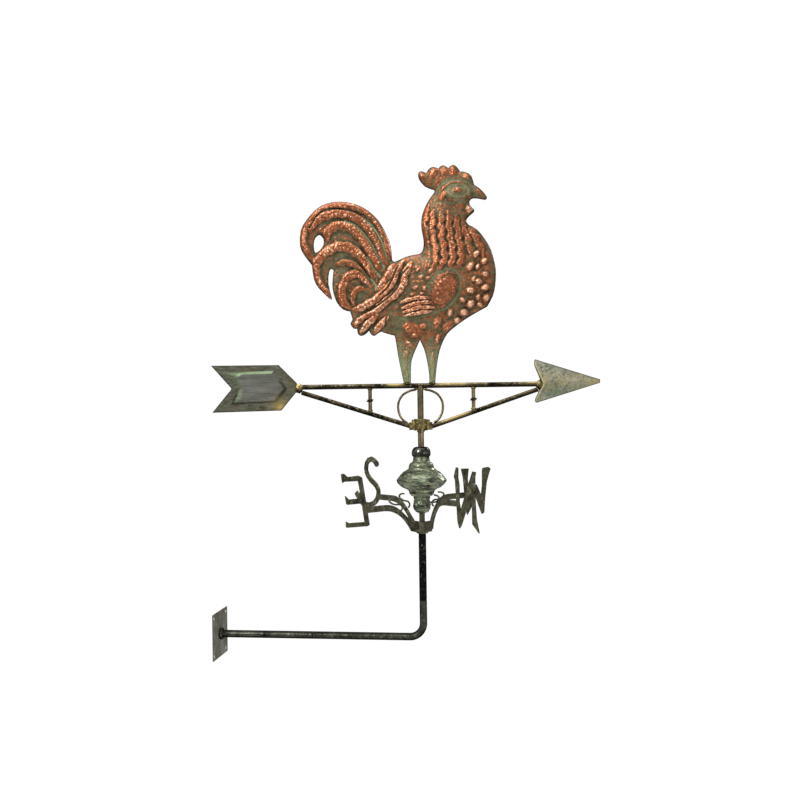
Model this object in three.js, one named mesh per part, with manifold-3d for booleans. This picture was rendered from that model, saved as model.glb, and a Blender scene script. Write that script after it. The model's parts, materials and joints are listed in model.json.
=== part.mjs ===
// Rooster weather vane on a wall bracket: a square plate and bent tube hold a mast with four
// compass letters and a spun finial, and the arrow with the rooster turns on a spindle above.
// Millimetres. The origin is the middle of the wall plate's back face, +X runs along the arm
// away from the wall, and +Z is up. Everything above the arm stands on the mast's axis.
import * as THREE from 'three';
import { ConvexGeometry } from 'three/addons/geometries/ConvexGeometry.js';
import * as BufferGeometryUtils from 'three/addons/utils/BufferGeometryUtils.js';
import Module from 'manifold-3d';

const wasm = await Module();
wasm.setup();

// ---- driving dimensions -------------------------------------------------------------------

const GAP = 0.3;                 // clearance between pieces that touch on the real object
const REACH = 338;               // wall to the mast's axis
const TUBE_R = 6;                // arm and mast tube
const TUBE_WALL = 1.5;
const SPINDLE_R = 3;             // steel rod that carries the finial and the vane
const BORE_R = SPINDLE_R + GAP;  // everything threaded on the spindle

const PLATE = { side: 75, thickness: 1.5, holeInset: 7, holeR: 3.2 };
const BEND_R = 22;               // centreline radius of the arm's bend
const JOINT_Z = 59;              // where the mast plugs into the arm

const COMPASS = { bottom: 166, top: 184.5, hubR: 9.5, plate: 3 };
const SPACER = { top: 198, r: 4.5 };
const RIM_Z = 251.4;             // widest point of the finial
const FINIAL_TOP = 304.5;
const SLEEVE = { top: 319, r: 4.9 };

const VANE_BEARING = 7.5;        // degrees the arrow points off the arm when at rest
const ARROW = { z: 402.3, r: 4, tail: -190, head: 190 };
const HUB = { bottom: 330.5, top: 349, r: 11, lugX: 18.5, lugTall: 12.5, shoulderX: 14.6, boreR: 5 };
const ROTOR_TUBE_R = 4.9;
const BRACE_R = 3.7;
const STRUT_R = 3;
const PIVOT_Z = 385.7;           // top of the spindle, under the ball

const SHEET = 1.2;               // copper and tail sheet thickness
const SEAM = GAP / 2;            // each half of a two-shell piece keeps this from the seam

const LOOKS = {
  steel: { color: 0x4c4d45, roughness: 0.6, metalness: 0.8 },
  black: { color: 0x1c1e1a, roughness: 0.45, metalness: 0.7 },
  bright: { color: 0xa9a79c, roughness: 0.35, metalness: 1 },
  letters: { color: 0x3c3e30, roughness: 0.55, metalness: 0.7 },
  verdigris: { color: 0x6b7358, roughness: 0.65, metalness: 0.5 },
  copper: { color: 0xb0744c, roughness: 0.42, metalness: 0.9 },
  patina: { color: 0x62655a, roughness: 0.6, metalness: 0.6 },
  brass: { color: 0xb79c5c, roughness: 0.4, metalness: 0.9 },
  bronze: { color: 0x6f6548, roughness: 0.45, metalness: 0.8 },
};

const group = new THREE.Group();                      // wall plate, arm, mast and finial
const mast = new THREE.Group();                       // everything on the mast's axis
const vane = new THREE.Group();                       // everything that turns with the wind
mast.position.x = REACH;
vane.rotation.z = THREE.MathUtils.degToRad(VANE_BEARING);
mast.add(vane);
group.add(mast);

// ---- building blocks ----------------------------------------------------------------------

function addPiece(parent, name, geometry, look) {
  const mesh = new THREE.Mesh(geometry, new THREE.MeshStandardMaterial(LOOKS[look]));
  mesh.name = name;
  parent.add(mesh);
  return mesh;
}

function solidOf(geometry) {
  const bare = geometry.clone();
  bare.deleteAttribute('normal');
  bare.deleteAttribute('uv');
  const merged = BufferGeometryUtils.mergeVertices(bare, 1e-4);
  const vertProperties = new Float32Array(merged.attributes.position.array);
  const triVerts = new Uint32Array(merged.index.array);
  return new wasm.Manifold(new wasm.Mesh({ numProp: 3, vertProperties, triVerts }));
}

function geometryOf(solid) {
  const mesh = solid.getMesh();
  const geometry = new THREE.BufferGeometry();
  geometry.setAttribute('position', new THREE.BufferAttribute(mesh.vertProperties, 3));
  geometry.setIndex(new THREE.BufferAttribute(mesh.triVerts, 1));
  geometry.computeVertexNormals();
  return geometry;
}

function cut(geometry, ...cutters) {
  return geometryOf(cutters.reduce((left, tool) => left.subtract(solidOf(tool)), solidOf(geometry)));
}

function join(...geometries) {
  return geometryOf(geometries.map(solidOf).reduce((sum, next) => sum.add(next)));
}

// A path that is stepped exactly at its stations, so straight stretches need no extra steps.
class StationPath extends THREE.Curve {
  constructor(stations) {
    super();
    this.stations = stations;
  }

  getPoint(t, target = new THREE.Vector3()) {
    const at = t * (this.stations.length - 1);
    const i = Math.min(Math.floor(at), this.stations.length - 2);
    return target.lerpVectors(this.stations[i], this.stations[i + 1], at - i);
  }

  getUtoTmapping(u) {
    return u;
  }
}

// A round bar, or a tube where an inner radius is given, through the stations of a path.
function bar(stations, radius, { inner = 0, sides = 12 } = {}) {
  const section = new THREE.Shape().absarc(0, 0, radius, 0, Math.PI * 2);
  if (inner > 0) section.holes.push(new THREE.Path().absarc(0, 0, inner, 0, Math.PI * 2, true));
  return new THREE.ExtrudeGeometry(section, {
    steps: stations.length - 1,
    curveSegments: sides / 2,
    extrudePath: new StationPath(stations),
  });
}

// A turned piece on the Z axis from [radius, height] points, bored out to `bore`.
function turned(profile, bore, segments = 20) {
  const [first, last] = [profile[0], profile[profile.length - 1]];
  const loop = [[bore, first[1]], ...profile, [bore, last[1]], [bore, first[1]]];
  const points = loop.map(([r, z]) => new THREE.Vector2(r, z));
  return new THREE.LatheGeometry(points, segments).rotateX(Math.PI / 2);
}

// A flat plate in the XZ plane, centred on y = 0.
function plateXZ(shape, thickness) {
  const geometry = new THREE.ExtrudeGeometry(shape, { depth: thickness, bevelEnabled: false });
  return geometry.translate(0, 0, -thickness / 2).rotateX(Math.PI / 2);
}

// A rounded blob of weld metal with the pieces it joins cut out of it.
function weldBead(x, z, radii, ...joined) {
  const blob = new THREE.SphereGeometry(1, 10, 6).scale(...radii).translate(x, 0, z);
  return cut(blob, ...joined);
}

const at = (x, z, y = 0) => new THREE.Vector3(x, y, z);
const shapeOf = (points) => new THREE.Shape(points.map(([x, z]) => new THREE.Vector2(x, z)));

// Smooth runs of points, sharp where one run meets the next.
function outlineOf(runs, perSpan = 2) {
  const points = runs.flatMap((run) => {
    const curve = new THREE.SplineCurve(run.map(([x, z]) => new THREE.Vector2(x, z)));
    const steps = run.length === 2 ? 1 : (run.length - 1) * perSpan;
    return curve.getPoints(steps).slice(0, -1);
  });
  return new THREE.Shape(points);
}

// A band of even width along a smooth line, as a closed outline.
function bandOf(line, width, steps) {
  const curve = new THREE.SplineCurve(line.map(([x, z]) => new THREE.Vector2(x, z)));
  const sides = [1, -1].map((side) => Array.from({ length: steps + 1 }, (_, i) => {
    const t = i / steps;
    const along = curve.getTangent(t);
    return curve.getPoint(t).add(new THREE.Vector2(-along.y, along.x).multiplyScalar(side * width / 2));
  }));
  return new THREE.Shape([...sides[1], ...sides[0].reverse()]);
}

// ---- wall bracket -------------------------------------------------------------------------

function wallPlate() {
  const half = PLATE.side / 2;
  const shape = shapeOf([[-half, -half], [half, -half], [half, half], [-half, half]]);
  const hole = half - PLATE.holeInset;
  for (const [y, z] of [[-hole, -hole], [hole, -hole], [hole, hole], [-hole, hole]]) {
    shape.holes.push(new THREE.Path().absarc(y, z, PLATE.holeR, 0, Math.PI * 2, true));
  }
  const options = { depth: PLATE.thickness, bevelEnabled: false, curveSegments: 8 };
  return new THREE.ExtrudeGeometry(shape, options).rotateX(Math.PI / 2).rotateZ(Math.PI / 2);
}

function armWeld() {
  const bead = turned([[TUBE_R + 4.5, 0], [TUBE_R + 3.2, 2], [TUBE_R + 0.9, 4.4]], TUBE_R + GAP, 20);
  return bead.rotateY(Math.PI / 2).translate(PLATE.thickness + GAP, 0, 0);
}

function bracketArm() {
  const bend = Array.from({ length: 7 }, (_, i) => {
    const turn = i / 6 * Math.PI / 2;
    return at(REACH - BEND_R + BEND_R * Math.sin(turn), BEND_R - BEND_R * Math.cos(turn));
  });
  const stations = [at(PLATE.thickness + GAP, 0), ...bend, at(REACH, JOINT_Z)];
  return bar(stations, TUBE_R, { inner: TUBE_R - TUBE_WALL });
}

addPiece(group, 'wall_plate', wallPlate(), 'steel');
addPiece(group, 'arm_weld', armWeld(), 'bronze');
addPiece(group, 'bracket_arm', bracketArm(), 'steel');

// ---- mast and spindle ---------------------------------------------------------------------

const plugR = TUBE_R - TUBE_WALL - GAP;
const screwZ = 147;
const mastScrew = { r: 1.5, from: -(plugR - 0.6), to: -(TUBE_R + 0.5) };

function screwHole({ r, from, to }, z) {
  return bar([at(0, z, from + GAP * 2), at(0, z, to - 4)], r + GAP, { sides: 8 });
}

function grubScrew({ r, from, to }, z) {
  return bar([at(0, z, from), at(0, z, to)], r, { sides: 8 });
}

function mastTube() {
  const tube = bar([at(0, JOINT_Z + GAP), at(0, COMPASS.bottom - GAP)], TUBE_R,
    { inner: TUBE_R - TUBE_WALL });
  return cut(tube, screwHole(mastScrew, screwZ));
}

function mastPlug() {
  const plug = turned([[plugR, 136], [plugR, COMPASS.bottom - 1]], BORE_R, 16);
  return cut(plug, screwHole(mastScrew, screwZ));
}

addPiece(mast, 'mast_joint_spigot', turned([[plugR, 30], [plugR, 96]], 2.5, 16), 'steel');
addPiece(mast, 'mast_tube', mastTube(), 'black');
addPiece(mast, 'mast_plug', mastPlug(), 'steel');
addPiece(mast, 'mast_set_screw', grubScrew(mastScrew, screwZ), 'bright');
addPiece(mast, 'spindle_rod', bar([at(0, 126), at(0, PIVOT_Z)], SPINDLE_R), 'bright');

// ---- finial -------------------------------------------------------------------------------

const FINIAL = {
  finial_bulb: [[4.8, 198], [10.2, 201], [13, 205], [14.2, 210], [13.8, 214.6], [12.3, 219.4], [12.8, 223]],
  finial_lower_collar: [[16, 226], [19.4, 229.5], [20.6, 233.5], [22.5, 236]],
  finial_collar: [[23, 267.8], [20.4, 271], [20, 274], [18, 278], [14.2, 281], [13, 285.3]],
  finial_top_nut: [[14.2, 289.4], [15.3, 293.4], [14.2, 299.5], [11.5, 303.2], [8, FINIAL_TOP]],
};
const LOWER_BOWL = [[24.5, 237], [31, 240.3], [37.8, 246.5], [40.5, RIM_Z - SEAM]];
const UPPER_BOWL = [[40.5, RIM_Z + SEAM], [33.9, 259.4], [29.8, 264], [24, 267]];

// A spun bowl: its outer line, and the same line again one sheet further in.
function bowl(outer, towardsRim) {
  const wall = SHEET + 0.3;
  const inner = outer.map(([r, z]) => [r - wall * 1.4, z + towardsRim * wall * 0.4]);
  const rim = towardsRim > 0 ? outer.length - 1 : 0;
  inner[rim][1] = outer[rim][1];
  const [neck, top] = towardsRim > 0 ? [outer[0], outer[0][1]] : [outer.at(-1), outer.at(-1)[1]];
  const floor = [[BORE_R, top], [BORE_R, top + towardsRim * wall], [neck[0] - 3, top + towardsRim * wall]];
  const loop = towardsRim > 0
    ? [floor[0], ...outer, ...inner.slice(1).reverse(), floor[2], floor[1], floor[0]]
    : [floor[1], floor[2], ...inner.slice(0, -1).reverse(), ...outer, floor[0], floor[1]];
  const points = loop.map(([r, z]) => new THREE.Vector2(r, z));
  return new THREE.LatheGeometry(points, 24).rotateX(Math.PI / 2);
}

addPiece(mast, 'spacer_tube',
  turned([[SPACER.r, COMPASS.top + GAP], [SPACER.r, SPACER.top - GAP]], BORE_R, 16), 'black');
for (const [name, profile] of Object.entries(FINIAL)) {
  addPiece(mast, name, turned(profile, BORE_R), name === 'finial_top_nut' ? 'black' : 'verdigris');
}
addPiece(mast, 'finial_lower_bowl', bowl(LOWER_BOWL, 1), 'verdigris');
addPiece(mast, 'finial_upper_bowl', bowl(UPPER_BOWL, -1), 'verdigris');
addPiece(mast, 'spindle_sleeve',
  turned([[SLEEVE.r, FINIAL_TOP + GAP], [SLEEVE.r, SLEEVE.top]], BORE_R, 16), 'bronze');

// ---- compass letters ----------------------------------------------------------------------
// Each letter is drawn in its own upright plane: x is the distance from the mast, z the height.

const LETTER_E = [[0, 2], [4, 0], [43, 1], [44.5, 2], [43, 11], [39, 8], [8.2, 7], [8.2, 32], [11, 35.5],
  [36, 35.5], [37.5, 37], [37.5, 49.5], [32, 43.5], [14, 43.5], [8.3, 54], [9, 70], [35, 70.5], [39, 69],
  [39, 82], [34, 83], [28, 77.5], [7.5, 78.4], [1, 75.5]];
const LETTER_N = [[4, 0], [8, 5], [32, 57], [32.6, 9], [47, -4], [41, 17], [39, 43], [39, 81], [41, 88],
  [34, 89], [6.5, 27.5], [3.8, 41], [4, 67], [1.5, 78], [2, 93], [-2, 94], [-7, 80], [-4.4, 73], [0, 10]];
const LETTER_W = [[8.4, 0], [12, 4], [29, 28], [42.5, -1], [47.5, 1], [49.8, 24], [54.6, 53], [61.6, 70],
  [64, 75], [58, 78], [46, 76.5], [44.8, 72], [44.4, 49], [41.8, 30], [30.5, 50], [15, 24], [10.2, 60],
  [12.6, 77.5], [-4, 78], [0.4, 63], [4.3, 27]];
const LETTER_S = [[4, 72], [15, 79.6], [29, 75], [33, 62], [29, 52.5], [20, 44], [8, 37], [1, 29.5],
  [0, 21.5], [3.5, 12.5], [12.5, 5], [25, 1], [38, 2], [48, 6], [56, 13.5], [62, 21]];

// The letter's foot stands at [from, foot]; its strokes lean out by `lean` for each unit of height.
// The arm's centre runs at armZ and ends inside the letter's first stroke, at armEnd.
// The arm is level from levelX on; scroll is where its wire scroll sits, measured from the south arm's.
const LETTERS = {
  north: { bearing: 317.5, from: 84, foot: 181, lean: 0, armZ: 219, armEnd: 86, levelX: 55,
    scroll: [-14, 2.2], outline: LETTER_N },
  east: { bearing: 227.5, from: 106.5, foot: 187, lean: 0.17, armZ: 212, armEnd: 114, levelX: 78,
    scroll: [10.5, 0.4], outline: LETTER_E },
  south: { bearing: 137.5, from: 111.5, foot: 201, lean: 0, armZ: 217.5, armEnd: 112, levelX: 78,
    scroll: [0, 0], line: LETTER_S },
  west: { bearing: 47.5, from: 91, foot: 187, lean: 0, armZ: 220.5, armEnd: 98, levelX: 62,
    scroll: [-8.5, 2.8], outline: LETTER_W },
};
const ARM = { depth: 9.6, footTop: COMPASS.top, footBottom: COMPASS.bottom + 2 };

// The arm leaves the hub as tall as the hub, sweeps up and runs level into the letter.
function armShape({ armZ, armEnd, levelX }) {
  const start = COMPASS.hubR + GAP;
  const [low, high] = [armZ - ARM.depth / 2, armZ + ARM.depth / 2];
  const shape = new THREE.Shape();
  shape.moveTo(start, ARM.footBottom);
  shape.lineTo(start + 13, ARM.footBottom + 3);
  shape.bezierCurveTo(levelX * 0.41, armZ - 26, levelX * 0.62, low, levelX, low);
  shape.lineTo(armEnd, low);
  shape.lineTo(armEnd, high);
  shape.lineTo(levelX - 4, high);
  shape.bezierCurveTo(levelX * 0.64, high, levelX * 0.49, armZ - 13, start + 9, ARM.footTop);
  shape.lineTo(start, ARM.footTop);
  return shape;
}

// The S is a band with a round end at its top; the other letters are cut to an outline.
function letterArm(letter) {
  const { from, foot, lean, outline, line } = letter;
  const place = ([x, z]) => [from + x + lean * z, foot + z];
  const shapes = [armShape(letter), line ? bandOf(line.map(place), 9, 26) : shapeOf(outline.map(place))];
  if (line) shapes.push(new THREE.Shape().absarc(...place(line[0]), 5.2, 0, Math.PI * 2));
  return join(...shapes.map((shape) => plateXZ(shape, COMPASS.plate)));
}

// The small wire scroll that rests on the south arm: a hook above, a hook below, one smooth S.
const SCROLL = [[44, 226.8], [51.5, 226], [56.6, 222.6], [55, 219.8], [48.5, 216.4], [42, 215.2],
  [36, 215], [31.2, 212.4], [30.4, 208.4], [33.4, 204.8]];
const SCROLL_R = 1.5;

function scroll({ scroll: [dx, dz] }) {
  const curve = new THREE.CatmullRomCurve3(SCROLL.map(([x, z]) => at(x + dx, z + dz)));
  return bar(curve.getPoints(18), SCROLL_R, { sides: 6 });
}

const hubScrew = { r: 1.8, from: SPINDLE_R + 2, to: COMPASS.hubR + 0.8 };
const hubScrewZ = (COMPASS.bottom + COMPASS.top) / 2;

function letterHub() {
  const { bottom, top, hubR } = COMPASS;
  const barrel = turned([[hubR - 0.8, bottom], [hubR, bottom + 0.8], [hubR, top - 0.8], [hubR - 0.8, top]],
    BORE_R);
  const hole = bar([at(0, hubScrewZ, 0), at(0, hubScrewZ, hubR + 4)], hubScrew.r + GAP, { sides: 8 });
  return cut(barrel, hole);
}

addPiece(mast, 'letter_hub', letterHub(), 'letters');
addPiece(mast, 'hub_set_screw', grubScrew(hubScrew, hubScrewZ), 'bright');
for (const [side, letter] of Object.entries(LETTERS)) {
  const turn = THREE.MathUtils.degToRad(letter.bearing);
  addPiece(mast, `letter_arm_${side}`, letterArm(letter), 'letters').rotation.z = turn;
  addPiece(mast, `scroll_${side}`, cut(scroll(letter), plateXZ(armShape(letter), COMPASS.plate + 4)),
    'letters').rotation.z = turn;
}

// ---- the vane's frame ---------------------------------------------------------------------

const BRACES = {
  tail: [at(-190, 393.8), at(-14, 336.8)],
  head: [at(188.6, 394.1), at(14, 335.6)],
};
const STRUTS = { tail: -80.5, head: 85 };
const arrowStations = [at(ARROW.tail, ARROW.z), at(ARROW.head, ARROW.z)];
const fatArrow = () => bar(arrowStations, ARROW.r + GAP, { sides: 16 });
const fatBrace = (side) => bar(BRACES[side], BRACE_R + GAP, { sides: 16 });

function hubBody(grow = 0) {
  const { bottom, top, r, lugX, lugTall, shoulderX } = HUB;
  const barrel = bar([at(0, bottom - grow), at(0, top + grow)], r + grow, { sides: 24 });
  const lugs = new THREE.BoxGeometry(2 * (lugX + grow), 9 + 2 * grow, lugTall + 2 * grow);
  const shoulders = new THREE.BoxGeometry(2 * (shoulderX + grow), 7 + 2 * grow, 6 + 2 * grow);
  return join(barrel, lugs.translate(0, 0, bottom + lugTall / 2 + 1),
    shoulders.translate(0, 0, bottom + lugTall + 2));
}

function rotorHub() {
  const bore = bar([at(0, HUB.bottom - 5), at(0, HUB.top + 5)], HUB.boreR, { sides: 16 });
  return cut(hubBody(), bore);
}

function rotorTube() {
  const stations = [at(0, HUB.top + GAP), at(0, ARROW.z)];
  return cut(bar(stations, ROTOR_TUBE_R, { inner: SPINDLE_R + 0.6, sides: 16 }), fatArrow());
}

function brace(side) {
  return cut(bar(BRACES[side], BRACE_R), hubBody(GAP));
}

function strut(side) {
  const x = STRUTS[side];
  const [outer, inner] = BRACES[side];
  const foot = THREE.MathUtils.mapLinear(x, outer.x, inner.x, outer.z, inner.z);
  return cut(bar([at(x, ARROW.z), at(x, foot)], STRUT_R), fatArrow(), fatBrace(side));
}

// A short wire wound once round a strut, with an end standing out on either side.
function barb(side) {
  const [reach, r, rise] = [5.6, STRUT_R + 1.3, 2.6];
  const coil = Array.from({ length: 11 }, (_, i) => {
    const turn = i / 10 * Math.PI * 2;
    return at(STRUTS[side] + r * Math.sin(turn), 379.5 + rise * (i / 10 - 0.5), -r * Math.cos(turn));
  });
  const stations = [coil[0].clone().add(at(-reach, 0)), ...coil, coil.at(-1).clone().add(at(reach, 0))];
  return bar(stations, 0.9, { sides: 6 });
}

// The wire ring between arrow and hub, in two halves that end on the hub's lugs.
const RING = [[7.6, 395.9], [16, 394.4], [27, 388.8], [33.8, 379.5], [35.9, 369], [34, 357.5],
  [28.4, 348], [20.8, 342.4]];

function ringHalf(sign) {
  const curve = new THREE.CatmullRomCurve3(RING.map(([x, z]) => at(sign * x, z)));
  const wire = bar(curve.getPoints(14), 1.9, { sides: 8 });
  return cut(wire, fatArrow(), hubBody(GAP), fatBrace(sign < 0 ? 'tail' : 'head'));
}

addPiece(vane, 'arrow_tube', bar(arrowStations, ARROW.r, { inner: ARROW.r - SHEET }), 'steel');
addPiece(vane, 'rotor_hub', rotorHub(), 'brass');
addPiece(vane, 'rotor_bush', turned([[SLEEVE.r, SLEEVE.top + GAP], [SLEEVE.r, 327.6], [6.2, 328.4],
  [6.2, HUB.bottom - GAP], [HUB.boreR - GAP, HUB.bottom - GAP], [HUB.boreR - GAP, HUB.top - 1]],
BORE_R, 16), 'brass');
addPiece(vane, 'rotor_tube', rotorTube(), 'bronze');
addPiece(mast, 'thrust_ball', new THREE.SphereGeometry(2.6, 12, 8).translate(0, 0, PIVOT_Z + GAP + 2.6),
  'bright');
addPiece(vane, 'pivot_cap', bar([at(0, PIVOT_Z + 2 * GAP + 5.2), at(0, ARROW.z - ARROW.r - 1)],
  SPINDLE_R + GAP), 'bright');
for (const side of ['tail', 'head']) {
  addPiece(vane, `brace_${side}`, brace(side), 'steel');
  addPiece(vane, `strut_${side}`, strut(side), 'bronze');
  addPiece(vane, `barb_${side}`, barb(side), 'black');
  addPiece(vane, `ring_half_${side}`, ringHalf(side === 'tail' ? -1 : 1), 'bronze');
}

// ---- tail plate and arrowhead -------------------------------------------------------------

const TAIL_EDGE = [[-333.5, 363.5], [-223, 365.5], [-199.5, 393.5], [-193.5, 401.5], [-198, 409.5],
  [-226.5, 438.5], [-334.5, 438.8], [-302, 401.5]];
const TAIL_PANEL = [[-302, 377], [-230.5, 379.8], [-212, 400.5], [-234.5, 430], [-311.5, 427.7],
  [-290.5, 401]];
const TAIL = { border: 2.4, panel: 5.6, slope: 5.5 };

// A flat chevron with a panel pressed out on both sides, its walls sloping.
function tailPlate() {
  const bevel = { bevelThickness: (TAIL.panel - TAIL.border) / 2, bevelSize: TAIL.slope,
    bevelOffset: -TAIL.slope, bevelSegments: 1 };
  const panel = new THREE.ExtrudeGeometry(shapeOf(TAIL_PANEL), { depth: TAIL.border, ...bevel })
    .rotateX(Math.PI / 2).translate(0, TAIL.border / 2, 0);
  return join(plateXZ(shapeOf(TAIL_EDGE), TAIL.border), panel);
}

const HEAD = { tip: 288, tipHalf: 2.8, axis: 405.7, notch: [196, 402.2], ridge: 5.8, edge: 0.9,
  back: 182.5, top: 442.6, bottom: 371.2,
  topBarb: [[184.6, 442], [182.8, 439.5], [183.3, 431.8]],
  lowBarb: [[184.3, 379.6], [183.2, 374.9], [186.3, 371.9]] };

// One bent sheet of the arrowhead: a low roof with its ridge along the arrow, open at the back.
function headSheet(side) {
  const { tip, tipHalf, axis, notch, ridge, edge, back, top, bottom, topBarb, lowBarb } = HEAD;
  const roof = (drop, run) => new ConvexGeometry([
    ...[-side * 6, side * (edge - drop)].flatMap((y) => [
      at(back - run, top, y), at(back - run, bottom, y),
      at(tip, axis + tipHalf, y), at(tip, axis - tipHalf, y),
    ]),
    at(back - run, ARROW.z, side * (ridge - drop)),
    at(tip - 8, axis, side * (edge + 1 - drop)),
  ]);
  const outline = shapeOf([notch, ...lowBarb, [tip, axis - tipHalf], [tip, axis + tipHalf], ...topBarb]);
  const slab = plateXZ(outline, 8).translate(0, side * (4 + SEAM), 0);
  return geometryOf(solidOf(slab).intersect(solidOf(roof(0, 0))).subtract(solidOf(roof(SHEET, 4))));
}

const welded = {
  tail: [fatArrow(), fatBrace('tail'), plateXZ(shapeOf(TAIL_EDGE), TAIL.border + 2 * GAP)],
  head: [fatArrow(), fatBrace('head')],
};
addPiece(vane, 'tail_plate', tailPlate(), 'patina');
addPiece(vane, 'arrowhead_near_sheet', headSheet(-1), 'patina');
addPiece(vane, 'arrowhead_far_sheet', headSheet(1), 'patina');
addPiece(vane, 'tail_weld', weldBead(-192.5, 400.3, [7, 6.4, 8], ...welded.tail), 'brass');
addPiece(vane, 'head_weld', weldBead(189.2, 400.5, [5, 6.4, 7], ...welded.head), 'brass');

// ---- rooster ------------------------------------------------------------------------------
// Two embossed half shells that meet in the plane of the arrow. The outline is drawn as smooth
// runs, x from the mast's axis towards the beak and z as height.

const FOOT_Z = ARROW.z + ARROW.r + 2 * GAP;
const ROOSTER = [
  [[27.5, 715.5], [12.5, 721.5], [3, 734], [3, 743.5], [8, 744.5], [15, 741.3]],           // comb
  [[15, 741.3], [19, 748.5], [26, 751.5], [34.4, 748.8]],
  [[34.4, 748.8], [38, 752.8], [43, 753.6], [50.2, 748.9]],
  [[50.2, 748.9], [54, 753], [59, 754.3], [63.5, 750.5], [68.2, 743.6]],
  [[68.2, 743.6], [77, 742.6], [86, 736.5], [90, 722.8]],
  [[90, 722.8], [99, 716.2], [107, 708], [110.5, 702]],                                    // beak
  [[110.5, 702], [108, 699], [99, 700.9], [88, 701.6], [82.3, 697], [83, 690], [88, 684]],
  [[88, 684], [90, 680.5], [83, 674.4], [77.3, 668], [77.5, 662.5], [81, 658]],            // wattle
  [[81, 658], [94, 650.4], [105, 637], [115.5, 618.5], [121.8, 594], [122.9, 579.5],       // breast
    [121.5, 561], [117.5, 544.5], [108.5, 528]],
  [[108.5, 528], [90, 518], [72, 507.5], [56, 496], [44, 485.5], [36.5, 472.5]],
  [[36.5, 472.5], [31, 458], [26.5, 436], [24, 415], [23.5, FOOT_Z]],                      // legs
  [[23.5, FOOT_Z], [15.5, FOOT_Z]],
  [[15.5, FOOT_Z], [15.5, 420], [12, 444], [7.5, 462], [0.5, 477]],
  [[0.5, 477], [-7.5, 460], [-14, 443], [-15.5, 425], [-15.5, FOOT_Z]],
  [[-15.5, FOOT_Z], [-25.5, FOOT_Z]],
  [[-25.5, FOOT_Z], [-27.5, 417.5], [-30.5, 433], [-34, 452], [-36.5, 470], [-39, 483.5]],
  [[-39, 483.5], [-50, 486.5], [-61.5, 490.5]],                                            // belly
  [[-61.5, 490.5], [-67, 487.5], [-73, 483.6], [-77.5, 487], [-80.4, 492.8]],              // coverts
  [[-80.4, 492.8], [-87, 486.5], [-94, 484], [-98, 488], [-99, 495.9]],
  [[-99, 495.9], [-105, 496], [-109.5, 503.5], [-106, 510], [-110.2, 523.5]],
  [[-110.2, 523.5], [-121, 526.5], [-131.5, 539], [-137.3, 559], [-137, 575], [-135.3, 589]],
  [[-135.3, 589], [-139.5, 592], [-144, 587], [-145.5, 567], [-140, 544]],
  [[-140, 544], [-142, 543.5], [-159, 560.5], [-167, 575], [-170, 598]],                   // tail
  [[-170, 598], [-182, 614], [-188.5, 629], [-187, 653], [-179, 668], [-165, 684], [-148, 694.5],
    [-124.5, 698], [-100, 693.5], [-80, 683], [-63, 666], [-51, 643.5], [-45, 627], [-43, 604.5]],
  [[-43, 604.5], [-39, 600.4], [-26, 605.3], [-14.5, 609.7], [-1, 612], [5, 614.5], [8.7, 622],
    [9.5, 635], [6.5, 652], [6.5, 668], [10, 682], [18, 698], [27.5, 711], [27.5, 715.5]], // neck
];
const TAIL_HOLE = [[-157, 646.5], [-162, 645], [-167, 638], [-168, 626], [-165.5, 617],
  [-158, 620], [-151, 629.5], [-151, 640], [-157, 646.5]];
const RIM = 2.6;                 // half thickness at the seam
const EMBOSS = 3.6;              // how far the sheet rises inside its edge
const EDGE_RUN = 6;              // distance over which it rises
const SOLDER = 5;                // width of the flat seam where the halves are soldered
// Bulges of each half: [x, z, half width, half height, rise].
const BULGES = [
  [44, 575, 62, 60, 21],         // body
  [44, 662, 28, 46, 8],          // neck
  [58, 706, 24, 22, 7],          // head
];

const silhouette = outlineOf(ROOSTER);
silhouette.holes.push(new THREE.Path(new THREE.SplineCurve(TAIL_HOLE.map(([x, z]) =>
  new THREE.Vector2(x, z))).getPoints(16).slice(0, -1)));

// How deep a point lies inside the outline; negative outside.
function insideDepth(x, z) {
  const loops = [silhouette, ...silhouette.holes].map((path) => path.getPoints());
  let nearest = Infinity;
  let inside = false;
  for (const loop of loops) {
    loop.forEach((b, i) => {
      const a = loop[(i + loop.length - 1) % loop.length];
      const [dx, dz] = [b.x - a.x, b.y - a.y];
      const span = dx * dx + dz * dz || 1;
      const t = THREE.MathUtils.clamp(((x - a.x) * dx + (z - a.y) * dz) / span, 0, 1);
      nearest = Math.min(nearest, Math.hypot(x - a.x - t * dx, z - a.y - t * dz));
      if ((a.y > z) !== (b.y > z) && x < a.x + dx * (z - a.y) / dz) inside = !inside;
    });
  }
  return inside ? nearest : -nearest;
}

function halfThickness(x, z, depth) {
  const bulge = BULGES.reduce((sum, [cx, cz, w, h, rise]) =>
    sum + rise * Math.exp(-(((x - cx) / w) ** 2) - ((z - cz) / h) ** 2), 0);
  return RIM + (EMBOSS + bulge) * (1 - Math.exp(-Math.max(depth, 0) / EDGE_RUN));
}

const CELL = 17;
const FIELD = { x0: -202, x1: 138, z0: 402, z1: 759, back: 8 };

// A block whose one face is raised to height(x, z); side says which way the face looks.
function reliefBlock(height, side) {
  const [wide, tall] = [FIELD.x1 - FIELD.x0, FIELD.z1 - FIELD.z0];
  const block = new THREE.BoxGeometry(wide, 2, tall, wide / CELL, 1, tall / CELL);
  block.translate((FIELD.x0 + FIELD.x1) / 2, 0, (FIELD.z0 + FIELD.z1) / 2);
  const position = block.attributes.position;
  for (let i = 0; i < position.count; i += 1) {
    const [x, z] = [position.getX(i), position.getZ(i)];
    const raised = position.getY(i) * side > 0;
    position.setY(i, raised ? side * height(x, z) : -side * FIELD.back);
  }
  return block;
}

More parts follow.
